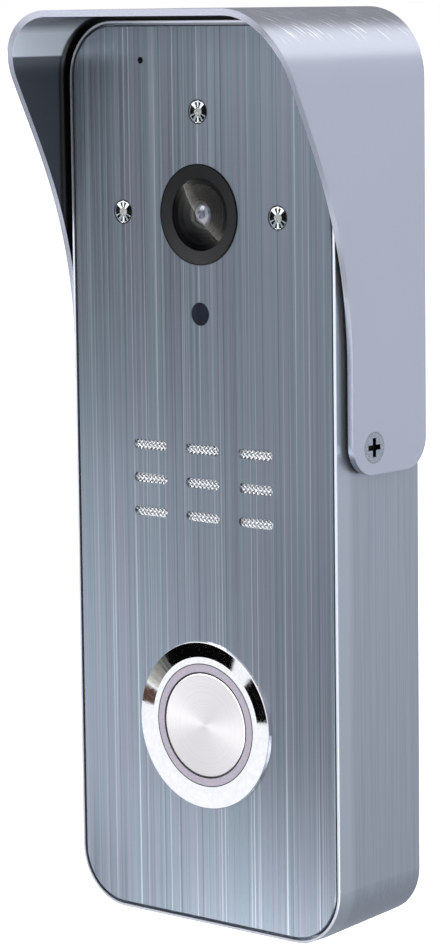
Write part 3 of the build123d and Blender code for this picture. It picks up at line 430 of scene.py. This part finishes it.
def epoxyPackage():
    # moulded component bodies: dull black with a fine sparkle of filler
    return plainFinish("epoxy_package", "#18181a", "#262628", 0.1 * mm, 0.006 * mm, 0.6)


def mouldedNylon():
    # terminal block nylon
    return plainFinish("moulded_nylon", "#1d6b38", "#268046", 0.3 * mm, 0.006 * mm, 0.4, IOR=1.53)


def turnedBrass():
    # free-machining brass, as turned
    return plainFinish("turned_brass", "#a8874a", "#c6a765", 0.25 * mm, 0.004 * mm, 0.3, Metallic=1.0)


def springWire():
    # drawn spring steel with die lines
    return plainFinish("spring_wire", "#85878a", "#a5a7aa", 0.12 * mm, 0.003 * mm, 0.3, Metallic=1.0)


def pvcSleeve():
    # extruded PVC insulation
    return plainFinish("pvc_sleeve", "#8d1310", "#a61b16", 0.8 * mm, 0.004 * mm, 0.4, IOR=1.53)


def pressedPaper():
    # speaker cone: felted paper fibre
    return plainFinish("pressed_paper", "#161616", "#262524", 0.15 * mm, 0.02 * mm, 0.85)


def foamTape():
    # double-sided acrylic foam tape
    return plainFinish("acrylic_foam_tape", "#0d0d0e", "#161617", 0.2 * mm, 0.01 * mm, 0.8)


def sinteredFerrite():
    # speaker magnet, ground
    return plainFinish("sintered_ferrite", "#26272a", "#36373a", 0.2 * mm, 0.006 * mm, 0.5, Metallic=0.4)


def mouldedAcetal():
    # plunger: waxy white
    return plainFinish("moulded_acetal", "#d8d8d3", "#e4e4e0", 0.6 * mm, 0.003 * mm, 0.32, IOR=1.48)


def castEpoxy():
    # lamp bodies: clear cast resin with a slight violet tint
    return plainFinish("cast_epoxy", "#c9c9da", "#dcdcea", 0.8 * mm, 0.002 * mm, 0.1, IOR=1.5,
                       Transmission_Weight=0.6)


def drawnNickel():
    # microphone can: deep-drawn nickel silver
    return plainFinish("drawn_nickel", "#a5a29b", "#c4c1b9", 0.4 * mm, 0.003 * mm, 0.25, Metallic=1.0)


def starWhite():
    # ribs of the lamp's face, vacuum-metallised: bright and slightly frosted
    return plainFinish("metallised_reflector", "#eceeef", "#fdfdfd", 0.3 * mm, 0.001 * mm, 0.16, Metallic=1.0)


def mouldedGrey():
    # grey frame of the lamp's face, satin like the plate round it
    return plainFinish("moulded_grey", "#7b828a", "#878e96", 0.3 * mm, 0.001 * mm, 0.4, IOR=1.5)


def lampCover():
    # hard-coated acrylic disc with an anti-reflection coat, so that the black windows stay black
    return plainFinish("coated_acrylic_disc", "#eef2f2", "#f8fafa", 2 * mm, 0.0, 0.05, IOR=1.12,
                       Transmission_Weight=1.0)


def wellBlack():
    # inside of the lens barrel and the lamps' windows: dull black paint that swallows light
    return plainFinish("dull_black_well", "#050505", "#0b0b0b", 0.2 * mm, 0.004 * mm, 0.9,
                       Specular_IOR_Level=0.1)


finishes = {
    "cast_aluminium": satinCasting(), "brushed_plate": brushedAluminium(), "hood_aluminium": bentAluminium(),
    "stainless_screws": passivatedStainless(), "chrome": brightChrome(), "button_steel": spunSteel(),
    "light_guide": frostedPolycarbonate(), "black_anodised": blackAnodised(), "optical_glass": clearGlass(),
    "smoked_acrylic": smokedAcrylic(), "black_rubber": mouldedRubber(), "black_abs": texturedAbs(),
    "zinc_steel": zincPlatedSteel(), "steel_mesh": wovenStainless(), "green_board": solderMask(),
    "black_epoxy": epoxyPackage(), "green_nylon": mouldedNylon(), "brass": turnedBrass(),
    "spring_steel": springWire(), "red_pvc": pvcSleeve(), "paper_cone": pressedPaper(),
    "adhesive_film": foamTape(), "ferrite": sinteredFerrite(), "white_acetal": mouldedAcetal(),
    "clear_epoxy": castEpoxy(), "nickel_can": drawnNickel()}
special = {"lens_window": coatedWindow(), "front_lens": coatedLensGlints(), "led_lenses": lampCover(),
           "led_reflectors": blackAnodised(), "lens_barrel": wellBlack(), "hood_screws": shadedRecessScrewHead()}
for part in frame["record"]["subparts"]:
    finish = special.get(part["node"], finishes[part["material_slot"]])
    for holder in nodes[part["node"]].material_slots:
        holder.material = finish
print("finishes on every frame part:", len(finishes) + len(special))


# Mesh helpers
def meshPiece(name, shape, finish):
    piece = bpy.data.objects.new(name, bpy.data.meshes.new(name))
    shape.to_mesh(piece.data)
    shape.free()
    scene.collection.objects.link(piece)
    piece.data.materials.append(finish)
    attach(piece, "unit")
    return piece


def sector(shape, centre, start, end, inner, outer, front, back, steps=6):
    # a ring sector standing between y = front and y = back; angles in degrees, clockwise from the top
    rows = []
    for step in range(steps + 1):
        angle = math.radians(start + (end - start) * step / steps)
        sine, cosine = math.sin(angle), math.cos(angle)
        rows.append([shape.verts.new((centre[0] + r * sine, y, centre[1] + r * cosine))
                     for r, y in ((inner, front), (outer, front), (outer, back), (inner, back))])
    for low, high in zip(rows, rows[1:]):
        for i in range(4):
            shape.faces.new((low[i], low[(i + 1) % 4], high[(i + 1) % 4], high[i]))
    shape.faces.new(rows[0][::-1])
    shape.faces.new(rows[-1])


def lathe(shape, centre, profile, steps):
    # closed turned ring about an axis along Y through centre; profile is (radius, y) points
    rings = []
    for step in range(steps):
        angle = 2 * math.pi * step / steps
        rings.append([shape.verts.new((centre[0] + r * math.sin(angle), y, centre[1] + r * math.cos(angle)))
                      for r, y in profile])
    for i in range(steps):
        low, high = rings[i], rings[(i + 1) % steps]
        for j in range(len(profile)):
            k = (j + 1) % len(profile)
            shape.faces.new((low[j], low[k], high[k], high[j]))


def outward(shape):
    bmesh.ops.remove_doubles(shape, verts=shape.verts, dist=1e-8)
    bmesh.ops.recalc_face_normals(shape, faces=shape.faces)


def asMesh(carrier, name, finish):
    # turns a geometry-nodes result into a plain mesh of its own
    evaluated = carrier.evaluated_get(bpy.context.evaluated_depsgraph_get())
    plain = bpy.data.meshes.new_from_object(evaluated)
    plain.name = name
    carrier.modifiers.clear()
    bpy.data.objects.remove(carrier)
    piece = bpy.data.objects.new(name, plain)
    scene.collection.objects.link(piece)
    plain.materials.clear()
    plain.materials.append(finish)
    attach(piece, "unit")
    return piece


def namedInputs(tree, values):
    # makes one input for each named size, and returns the sockets that carry them
    tree.interface.new_socket("Geometry", in_out="INPUT", socket_type="NodeSocketGeometry")
    tree.interface.new_socket("Geometry", in_out="OUTPUT", socket_type="NodeSocketGeometry")
    for name in values:
        kind = "NodeSocketInt" if isinstance(values[name], int) else "NodeSocketFloat"
        tree.interface.new_socket(name, in_out="INPUT", socket_type=kind)
    return addNode(tree, "NodeGroupInput").outputs


def carrierWith(tree, name, values):
    # an object that holds the tree, its inputs set by identifier before it is first evaluated
    carrier = bpy.data.objects.new(name, bpy.data.meshes.new(name))
    modifier = carrier.modifiers.new("shape", "NODES")
    modifier.node_group = tree
    for item in tree.interface.items_tree:
        if item.item_type == "SOCKET" and item.in_out == "INPUT" and item.name in values:
            modifier[item.identifier] = values[item.name]
    scene.collection.objects.link(carrier)
    return carrier


# Woven speaker mesh, drawn coarser than a real one so that single wires show
weave = {"Pitch": 0.56 * mm, "Wire width": 0.25 * mm, "Wire thickness": 0.05 * mm, "Bow": 0.10 * mm,
         "Count": 59}


def crossing(tree, given):
    # one crossing: a wire along X that bows to the front, and one along Z that bows to the back
    half = mathNode(tree, "MULTIPLY", given["Pitch"], 0.5)
    ends = [addNode(tree, "ShaderNodeCombineXYZ", {"X": x}).outputs[0]
            for x in (mathNode(tree, "MULTIPLY", half, -1.0), half)]
    crown = addNode(tree, "ShaderNodeCombineXYZ", {"Y": mathNode(tree, "MULTIPLY", given["Bow"], -1.0)})
    bow = addNode(tree, "GeometryNodeCurveQuadraticBezier",
                  {"Resolution": 3, "Start": ends[0], "Middle": crown.outputs[0], "End": ends[1]})
    round_ = addNode(tree, "GeometryNodeCurvePrimitiveCircle", {"Resolution": 4, "Radius": 1.0})
    squeeze = addNode(tree, "ShaderNodeCombineXYZ",
                      {"X": given["Wire thickness"], "Y": given["Wire width"], "Z": 1.0})
    section = addNode(tree, "GeometryNodeTransform",
                      {"Geometry": round_.outputs[0], "Scale": squeeze.outputs[0]})
    wire = addNode(tree, "GeometryNodeCurveToMesh",
                   {"Curve": bow.outputs[0], "Profile Curve": section.outputs[0]})
    other = addNode(tree, "GeometryNodeTransform",
                    {"Geometry": wire.outputs[0], "Rotation": (math.pi, math.pi / 2, 0)})
    cell = addNode(tree, "GeometryNodeJoinGeometry")
    tree.links.new(wire.outputs[0], cell.inputs[0])
    tree.links.new(other.outputs[0], cell.inputs[0])
    return cell.outputs[0]


def wovenMesh():
    tree = bpy.data.node_groups.new("woven_mesh", "GeometryNodeTree")
    given = namedInputs(tree, weave)
    side = mathNode(tree, "MULTIPLY", given["Pitch"], mathNode(tree, "SUBTRACT", given["Count"], 1.0))
    grid = addNode(tree, "GeometryNodeMeshGrid", {"Size X": side, "Size Y": side,
                                                  "Vertices X": given["Count"], "Vertices Y": given["Count"]})
    laid = addNode(tree, "GeometryNodeTransform",
                   {"Geometry": grid.outputs[0], "Rotation": (math.pi / 2, 0, 0)})
    # an odd count of crossings in a row makes every second index an odd one of the chequer
    odd = mathNode(tree, "MODULO", addNode(tree, "GeometryNodeInputIndex").outputs[0], 2.0)
    turn = addNode(tree, "ShaderNodeCombineXYZ", {"Y": mathNode(tree, "MULTIPLY", odd, math.pi / 2)})
    crossings = addNode(tree, "GeometryNodeInstanceOnPoints",
                        {"Points": laid.outputs[0], "Instance": crossing(tree, given),
                         "Rotation": turn.outputs[0]})
    slanted = addNode(tree, "GeometryNodeTransform",
                      {"Geometry": crossings.outputs[0], "Rotation": (0, math.pi / 4, 0)})
    low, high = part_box("speaker_mesh")
    position = addNode(tree, "GeometryNodeInputPosition").outputs[0]
    at = addNode(tree, "ShaderNodeSeparateXYZ", {"Vector": position}).outputs
    outX = mathNode(tree, "GREATER_THAN", mathNode(tree, "ABSOLUTE", at["X"]),
                    (high.x - low.x) / 2 - weave["Pitch"])
    outZ = mathNode(tree, "GREATER_THAN", mathNode(tree, "ABSOLUTE", at["Z"]),
                    (high.z - low.z) / 2 - weave["Pitch"])
    outside = mathNode(tree, "MAXIMUM", outX, outZ)
    trimmed = addNode(tree, "GeometryNodeDeleteGeometry",
                      {"Geometry": slanted.outputs[0], "Selection": outside}, domain="INSTANCE")
    placed = addNode(tree, "GeometryNodeTransform",
                     {"Geometry": trimmed.outputs[0], "Translation": slotCentre})
    real = addNode(tree, "GeometryNodeRealizeInstances", {"Geometry": placed.outputs[0]})
    painted = addNode(tree, "GeometryNodeSetMaterial",
                      {"Geometry": real.outputs[0], "Material": finishes["steel_mesh"]})
    addNode(tree, "NodeGroupOutput", {0: painted.outputs[0]})
    piece = asMesh(carrierWith(tree, "mesh_carrier", weave), "woven_speaker_mesh",
                   finishes["steel_mesh"])
    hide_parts("speaker_mesh")
    return piece


mesh = wovenMesh()
print("speaker mesh:", len(mesh.data.polygons), "faces")


# Lamp faces: a grey disc with black windows, bright ribs and a small diamond, cast in just under the
# front of each clear disc
star = {"radius": 1.68 * mm, "hole": 0.02 * mm, "front": 0.06 * mm, "base": 0.10 * mm, "step": 0.02 * mm,
        "apart": 6 * mm, "steps": 48, "hub": 0.005,
        # start and end angle clockwise from the top, inner and outer share of the radius
        "black": [(-108, -54, 0.42, 0.90), (50, 112, 0.42, 0.93), (-135, -118, 0.42, 0.88),
                  (122, 141, 0.42, 0.90), (-170, -157, 0.55, 0.90), (155, 168, 0.55, 0.90),
                  (-24, -7, 0.42, 0.84), (11, 25, 0.42, 0.84)],
        "white": [(-50, -24, 0.36, 0.97), (-7, 7, 0.36, 0.99), (25, 48, 0.36, 0.97), (-24, -7, 0.84, 0.92),
                  (7, 25, 0.84, 0.92), (174, 186, 0.30, 0.99), (161, 199, 0.92, 0.99)],
        # the diamond's rings, inner and outer share; the first starts at the hub
        "diamond": [(0.0, 0.07), (0.14, 0.25), (0.31, 0.42)]}


def lampPlaces(node):
    # the lamps' centres, from the three discs of one frame part
    spots = []
    for vertex in node.data.vertices:
        x, z = vertex.co.x, vertex.co.z
        for spot in spots:
            if math.hypot(spot[0] / spot[2] - x, spot[1] / spot[2] - z) < star["apart"]:
                spot[0] += x
                spot[1] += z
                spot[2] += 1
                break
        else:
            spots.append([x, z, 1])
    return [(round(s[0] / s[2], 5), round(s[1] / s[2], 5)) for s in spots]


def lampFaces():
    shapes = {kind: bmesh.new() for kind in ("grey", "black", "white", "diamond")}
    front = faceY + star["front"]
    for centre in lampPlaces(nodes["led_lenses"]):
        back = front + star["base"]
        lathe(shapes["grey"], centre, [(star["hole"], front), (star["radius"], front), (star["radius"], back),
                                       (star["hole"], back)], star["steps"])
        for kind, rise in (("black", 1), ("white", 2)):
            for start, end, inner, outer in star[kind]:
                sector(shapes[kind], centre, start, end, inner * star["radius"], outer * star["radius"],
                       front - rise * star["step"], front)
        for inner, outer in star["diamond"]:
            for corner in range(4):
                sector(shapes["diamond"], centre, corner * 90, corner * 90 + 90,
                       max(inner, star["hub"]) * star["radius"], outer * star["radius"],
                       front - 2 * star["step"], front, 1)
    for shape in shapes.values():
        outward(shape)
    meshPiece("lamp_star_grey", shapes["grey"], mouldedGrey())
    meshPiece("lamp_star_black", shapes["black"], wellBlack())
    meshPiece("lamp_star_white", shapes["white"], starWhite())
    meshPiece("lamp_star_diamond", shapes["diamond"], finishes["nickel_can"])


lampFaces()
print("lamp faces placed")


# Ridged baffle round the lens
baffle = {"inner": 1.72 * mm, "outer": 3.45 * mm, "ridges": 5, "height": 0.16 * mm, "foot": 0.05 * mm,
          # height of the valleys, and where a ridge's flat crest starts and ends, as shares
          "valley": 0.2, "crest": (0.75, 0.85), "steps": 96}


def lensBaffle():
    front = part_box("lens_barrel")[0].y
    back = front + baffle["foot"]
    valley = front - baffle["height"] * baffle["valley"]
    pitch = (baffle["outer"] - baffle["inner"]) / baffle["ridges"]
    profile = [(baffle["inner"], back)]
    for ridge in range(baffle["ridges"]):
        start = baffle["inner"] + pitch * ridge
        profile.append((start, valley))
        profile += [(start + pitch * share, front - baffle["height"]) for share in baffle["crest"]]
    profile += [(baffle["outer"], valley), (baffle["outer"], back)]
    shape = bmesh.new()
    lathe(shape, (0, lensCentre.z), profile, baffle["steps"])
    outward(shape)
    meshPiece("lens_baffle", shape, special["lens_barrel"])


# Fine dark rings in the joints round the lens and the button, and bright edges round the lens; the dark rings
# by the bezel and the light ring are seals that also serve as painted shade, the shadow lines of those joints
seam = {"bezelInset": 0.10 * mm, "bezelGap": 0.05 * mm, "lightGap": 0.13 * mm, "capGap": 0.18 * mm,
        "lensEdge": 0.07 * mm, "lensRadii": (1.52 * mm, 1.82 * mm), "proud": 0.02 * mm, "height": 0.06 * mm,
        "steps": 120}


def fineRing(name, centre, inner, outer, front, finish):
    shape = bmesh.new()
    lathe(shape, (0, centre.z), [(inner, front), (outer, front), (outer, front + seam["height"]),
                                 (inner, front + seam["height"])], seam["steps"])
    outward(shape)
    meshPiece(name, shape, finish)


def fineRings():
    rubber = finishes["black_rubber"]
    bezelLow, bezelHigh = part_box("lens_bezel")
    bezelRadius = (bezelHigh.x - bezelLow.x) / 2
    # painted shade: a dark seal ring as the shadow line round the bezel
    fineRing("bezel_seal_shade", lensCentre, bezelRadius - seam["bezelInset"], bezelRadius + seam["bezelGap"],
             bezelLow.y - seam["proud"], special["lens_barrel"])
    lightLow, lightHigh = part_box("light_ring")
    lightRadius = (lightHigh.x - lightLow.x) / 2
    # painted shade: a dark seal ring as the shadow line round the light ring
    fineRing("light_ring_seal_shade", buttonCentre, lightRadius - seam["lightGap"] / 2,
             lightRadius + seam["lightGap"] / 2, lightLow.y - seam["proud"], rubber)
    capLow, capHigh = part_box("button_cap")
    capRadius = (capHigh.x - capLow.x) / 2
    fineRing("cap_gap_ring", buttonCentre, capRadius + seam["proud"], capRadius + seam["capGap"],
             lightLow.y - seam["proud"], rubber)
    for number, radius in enumerate(seam["lensRadii"]):
        fineRing("lens_edge_%d" % (number + 1), lensCentre, radius, radius + seam["lensEdge"],
                 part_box("lens_barrel")[0].y - baffle["height"] - seam["height"], finishes["nickel_can"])


lensBaffle()
fineRings()
print("lens baffle and fine rings turned")


# Return spring: the frame part's own coil, as a piece of its own
def pressedSpring():
    coil = nodes["return_spring"].data.copy()
    coil.name = "pressed_return_spring"
    piece = bpy.data.objects.new("pressed_return_spring", coil)
    scene.collection.objects.link(piece)
    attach(piece, "unit")
    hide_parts("return_spring")
    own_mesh(piece)


pressedSpring()


# Studio: camera, floor, world, softboxes and flags
view = {"azimuth": 40.906, "elevation": 7.826, "roll": -0.714,
        "place": (330.234 * mm, -397.202 * mm, 69.536 * mm), "lens": 130.87, "sensor": 36.0,
        "nearest": 0.01}


def studioCamera():
    azimuth, elevation, roll = (math.radians(view[key]) for key in ("azimuth", "elevation", "roll"))
    back = Vector((math.sin(azimuth) * math.cos(elevation), -math.cos(azimuth) * math.cos(elevation),
                   math.sin(elevation)))
    right = (-back).cross(Vector((0, 0, 1))).normalized()
    up = right.cross(-back)
    sideways = right * math.cos(roll) + up * math.sin(roll)
    upright = up * math.cos(roll) - right * math.sin(roll)
    data = bpy.data.cameras.new("studio_camera")
    data.lens = view["lens"]
    data.sensor_width = view["sensor"]
    data.clip_start = view["nearest"]
    camera = bpy.data.objects.new("studio_camera", data)
    camera.matrix_world = Matrix((sideways, upright, back)).transposed().to_4x4()
    camera.location = view["place"]
    scene.collection.objects.link(camera)
    scene.camera = camera


def stageSheet(name, corners, material, **visible):
    data = bpy.data.meshes.new(name)
    data.from_pydata(corners, [], [tuple(range(len(corners)))])
    piece = bpy.data.objects.new(name, data)
    data.materials.append(material)
    scene.collection.objects.link(piece)
    for key, value in visible.items():
        setattr(piece, key, value)


def glow(name, code):
    # a flag's plain colour, which no lamp changes
    material = bpy.data.materials.new(name)
    material.use_nodes = True
    tree = material.node_tree
    tree.nodes.clear()
    light = addNode(tree, "ShaderNodeEmission", {"Color": toLinear(code), "Strength": 1.0})
    addNode(tree, "ShaderNodeOutputMaterial", {"Surface": light.outputs[0]})
    return material


def paleFloor():
    material, tree, shader, place = newFinish("pale_floor", {
        "Roughness": 0.8, "Emission Color": toLinear("#ffffff"), "Emission Strength": 0.55})
    mottle = grain(tree, place, (0.4, 0.4, 0.4), 1.0)
    link(tree, ramp(tree, mottle, [(0.3, "#f4f4f4"), (0.7, "#f8f8f8")]), shader, "Base Color")
    return material


studio = {"floorDrop": 0.10, "floorReach": 12.0,
          # by the height of a direction: 0 straight down, 0.5 level, 1 straight up
          "roomColours": [(0.0, "#7d828a"), (0.30, "#a8adb5"), (0.42, "#ccd0d8"), (0.66, "#d4d8e0"),
                          (0.71, "#ecedef"), (1.0, "#e4e6ea")],
          "roomStrength": 1.35,
          # direction, outer and inner half-width in degrees, and how much brighter the room is there
          "patches": [((-0.66, -0.74, 0.04), 46, 16, 0.30), ((0.27, 0.75, 0.62), 23, 15, 1.42),
                      ((-0.45, 0.75, 0.42), 35, 20, 0.34)],
          # name, place, size and watts; all of them look at the object's origin
          "softboxes": [("key_softbox", (-0.9, -1.1, 0.7), (0.7, 0.7), 14),
                        ("right_softbox", (1.2, -0.5, 0.8), (0.6, 0.9), 8),
                        ("low_softbox", (0.5, -0.9, -0.5), (0.6, 0.4), 5)]}


def studioWorld():
    world = bpy.data.worlds.new("studio")
    scene.world = world
    world.use_nodes = True
    tree = world.node_tree
    tree.nodes.clear()
    direction = addNode(tree, "ShaderNodeTexCoord").outputs["Generated"]
    height = addNode(tree, "ShaderNodeSeparateXYZ", {"Vector": direction}).outputs["Z"]
    share = mathNode(tree, "MULTIPLY", mathNode(tree, "ADD", height, 1.0), 0.5)
    strength = studio["roomStrength"]
    for centre, outer, inner, factor in studio["patches"]:
        facing = addNode(tree, "ShaderNodeVectorMath", {0: direction, 1: Vector(centre).normalized()},
                         operation="DOT_PRODUCT").outputs["Value"]
        patch = addNode(tree, "ShaderNodeMapRange", {
            "Value": facing, "From Min": math.cos(math.radians(outer)),
            "From Max": math.cos(math.radians(inner)), "To Min": 1.0, "To Max": factor},
            interpolation_type="SMOOTHSTEP").outputs["Result"]
        strength = mathNode(tree, "MULTIPLY", patch, strength)
    room = addNode(tree, "ShaderNodeBackground", {"Color": ramp(tree, share, studio["roomColours"]),
                                                  "Strength": strength})
    plain = addNode(tree, "ShaderNodeBackground", {"Color": toLinear("#ffffff"), "Strength": 1.0})
    seen = addNode(tree, "ShaderNodeLightPath").outputs["Is Camera Ray"]
    mix = addNode(tree, "ShaderNodeMixShader", {0: seen, 1: room.outputs[0], 2: plain.outputs[0]})
    addNode(tree, "ShaderNodeOutputWorld", {"Surface": mix.outputs[0]})


def softbox(name, place, size, power):
    data = bpy.data.lights.new(name, "AREA")
    data.shape = "RECTANGLE"
    data.size, data.size_y = size
    data.energy = power
    lamp = bpy.data.objects.new(name, data)
    lamp.location = place
    lamp.rotation_euler = (-Vector(place)).to_track_quat("-Z", "Y").to_euler()
    scene.collection.objects.link(lamp)


def mirrored(point, normal, distance):
    # where the line from the camera to a point of a mirror goes on to
    ray = (point - Vector(view["place"])).normalized()
    return point + (ray - 2 * ray.dot(normal) * normal) * distance


# flags that darken the chrome flange; the flange is dished, so its tilt grows outwards
flange = {"distance": 0.9, "radius": 11.4 * mm, "innerTilt": 3.844, "outerTilt": 9.3, "step": 6,
          # name, start and end angle clockwise from the flange's top, colour
          "flags": [("flag_top", -39, 30, "#060606"), ("flag_right", 48, 81, "#060606"),
                    ("flag_left", -80, -67, "#5a443d"), ("flag_shade_1", -42, -39, "#6a6b68"),
                    ("flag_line_1", -43, -42, "#1c1c1c"), ("flag_shade_2", -46, -43, "#7d7e7b"),
                    ("flag_line_2", -47, -46, "#2c2c2c"), ("flag_shade_3", -54, -47, "#8d8e8a"),
                    ("flag_shade_4", -60, -54, "#a9a9a4"), ("flag_shade_5", -64, -60, "#cbc8c2")]}


def flangePoint(angle, tilt):
    sine, cosine = math.sin(math.radians(angle)), math.cos(math.radians(angle))
    lean = math.radians(tilt)
    point = buttonCentre + flange["radius"] * Vector((sine, 0, cosine))
    normal = Vector((-math.sin(lean) * sine, -math.cos(lean), -math.sin(lean) * cosine))
    return mirrored(point, normal, flange["distance"])


def flangeFlag(name, start, end, code):
    # shaped so that the flange mirrors it between the two angles
    steps = max(2, (end - start) // flange["step"])
    angles = [start + (end - start) * step / steps for step in range(steps + 1)]
    inner = [flangePoint(angle, flange["innerTilt"]) for angle in angles]
    outer = [flangePoint(angle, flange["outerTilt"]) for angle in angles]
    stageSheet(name, inner + outer[::-1], glow(name, code), visible_camera=False, visible_diffuse=False,
               visible_shadow=False, visible_transmission=False)


def reflectionCard(name, grid, distance, code, strength, receivers):
    # a clear gel that only the receivers see, lit point by point: grid rows hold (point, normal, level),
    # and each corner hangs where a mirror at that point would look
    corners = [mirrored(point, normal, distance) for row in grid for point, normal, level in row]
    across = len(grid[0])
    faces = [(i * across + j, i * across + j + 1, (i + 1) * across + j + 1, (i + 1) * across + j)
             for i in range(len(grid) - 1) for j in range(across - 1)]
    data = bpy.data.meshes.new(name)
    data.from_pydata(corners, [], faces)
    levels = data.attributes.new("level", "FLOAT", "POINT")
    for corner, value in enumerate(level for row in grid for point, normal, level in row):
        levels.data[corner].value = value
    material = bpy.data.materials.new(name)
    material.use_nodes = True
    tree = material.node_tree
    tree.nodes.clear()
    level = addNode(tree, "ShaderNodeAttribute", attribute_name="level").outputs["Fac"]
    light = addNode(tree, "ShaderNodeEmission", {"Color": toLinear(code),
                                                 "Strength": mathNode(tree, "MULTIPLY", level, strength)})
    gel = addNode(tree, "ShaderNodeBsdfTransparent")
    both = addNode(tree, "ShaderNodeAddShader", {0: light.outputs[0], 1: gel.outputs[0]})
    addNode(tree, "ShaderNodeOutputMaterial", {"Surface": both.outputs[0]})
    material.cycles.emission_sampling = "NONE"
    data.materials.append(material)
    card = bpy.data.objects.new(name, data)
    scene.collection.objects.link(card)
    card.visible_camera = card.visible_diffuse = card.visible_shadow = card.visible_transmission = False
    seenBy = bpy.data.collections.new(name + "_receivers")
    for receiver in receivers:
        seenBy.objects.link(nodes[receiver] if receiver in nodes else bpy.data.objects[receiver])
    card.light_linking.receiver_collection = seenBy


# how bright the plate's own card is, from its top row to its bottom row, left to right
plateCard = {"distance": 0.07, "margin": 14 * mm, "strength": 10.8, "code": "#f1f5fc",
             "levels": [(0.00, 0.00, 0.09, 0.14), (0.00, 0.00, 0.07, 0.14), (0.00, 0.00, 0.05, 0.12),
                        (0.05, 0.03, 0.04, 0.11), (0.22, 0.08, 0.03, 0.09), (0.29, 0.12, 0.03, 0.02),
                        (0.24, 0.16, 0.05, 0.00), (0.00, 0.11, 0.27, 0.07), (0.00, 0.00, 0.50, 0.46)]}
faceNormal = Vector((0, -1, 0))


def plateGradient():
    rows = plateCard["levels"]
    margin = Vector((plateCard["margin"], 0, plateCard["margin"]))
    low, high = plateLow - margin, plateHigh + margin
    grid = []
    for i, levels in enumerate(rows):
        z = high.z + (low.z - high.z) * i / (len(rows) - 1)
        grid.append([(Vector((low.x + (high.x - low.x) * j / (len(levels) - 1), faceY, z)), faceNormal, level)
                     for j, level in enumerate(levels)])
    reflectionCard("plate_gradient", grid, plateCard["distance"], plateCard["code"], plateCard["strength"],
                   ["front_plate"])


# white cards that the bright edges and the chrome flange see: strength, and the parts that see it
whiteCard = {"distance": 1.7, "gap": 0.02, "reach": 0.30, "drop": 0.18, "code": "#fbfcff", "sheets": [
    (0.80, ["button_bezel", "button_cap", "housing_shell", "lamp_star_white", "lamp_star_grey"]),
    (1.22, ["rain_hood"]), (0.42, ["woven_speaker_mesh"])]}


def whiteSheets():
    reach = whiteCard["reach"]
    corners = [[(buttonCentre + Vector((x, 0, z)), faceNormal, 1.0) for x in (-reach, reach)]
               for z in (-whiteCard["drop"], reach)]
    # the sheets hang one behind the other, because only the first of two in one plane is seen
    for number, (strength, receivers) in enumerate(whiteCard["sheets"]):
        distance = whiteCard["distance"] + number * whiteCard["gap"]
        reflectionCard("white_sheet_" + receivers[0], corners, distance, whiteCard["code"], strength,
                       receivers)


# slanting band of window light on the camera's glass, in mm across and up from its middle
windowLight = {"distance": 0.5, "dome": 28 * mm, "strength": 11.0, "code": "#f4f2ea",
               "start": (-3.2, 4.3), "end": (3.8, -3.9), "across": (0.86, 0.52),
               "levels": [(-2.4, 0.0), (-1.2, 0.07), (-0.04, 0.24), (0.0, 1.0), (0.9, 0.50), (1.8, 0.17),
                          (3.2, 0.08), (5.5, 0.06)]}


def windowBand():
    grid = []
    for shift, level in windowLight["levels"]:
        row = []
        for end in (windowLight["start"], windowLight["end"]):
            x = (end[0] + windowLight["across"][0] * shift) * mm
            z = (end[1] + windowLight["across"][1] * shift) * mm
            normal = Vector((x / windowLight["dome"], -1.0, z / windowLight["dome"])).normalized()
            row.append((lensCentre + Vector((x, 0, z)), normal, level))
        grid.append(row)
    reflectionCard("window_light", grid, windowLight["distance"], windowLight["code"],
                   windowLight["strength"], ["lens_window"])


studioCamera()
reach = studio["floorReach"]
floorZ = housingLow.z - studio["floorDrop"]
stageSheet("pale_floor", [(-reach, -reach, floorZ), (reach, -reach, floorZ), (reach, reach, floorZ),
                          (-reach, reach, floorZ)], paleFloor(), visible_glossy=False)
studioWorld()
plateGradient()
whiteSheets()
windowBand()
for flag in flange["flags"]:
    flangeFlag(*flag)
for box in studio["softboxes"]:
    softbox(*box)
scene.view_settings.view_transform = "Standard"
print("studio set")
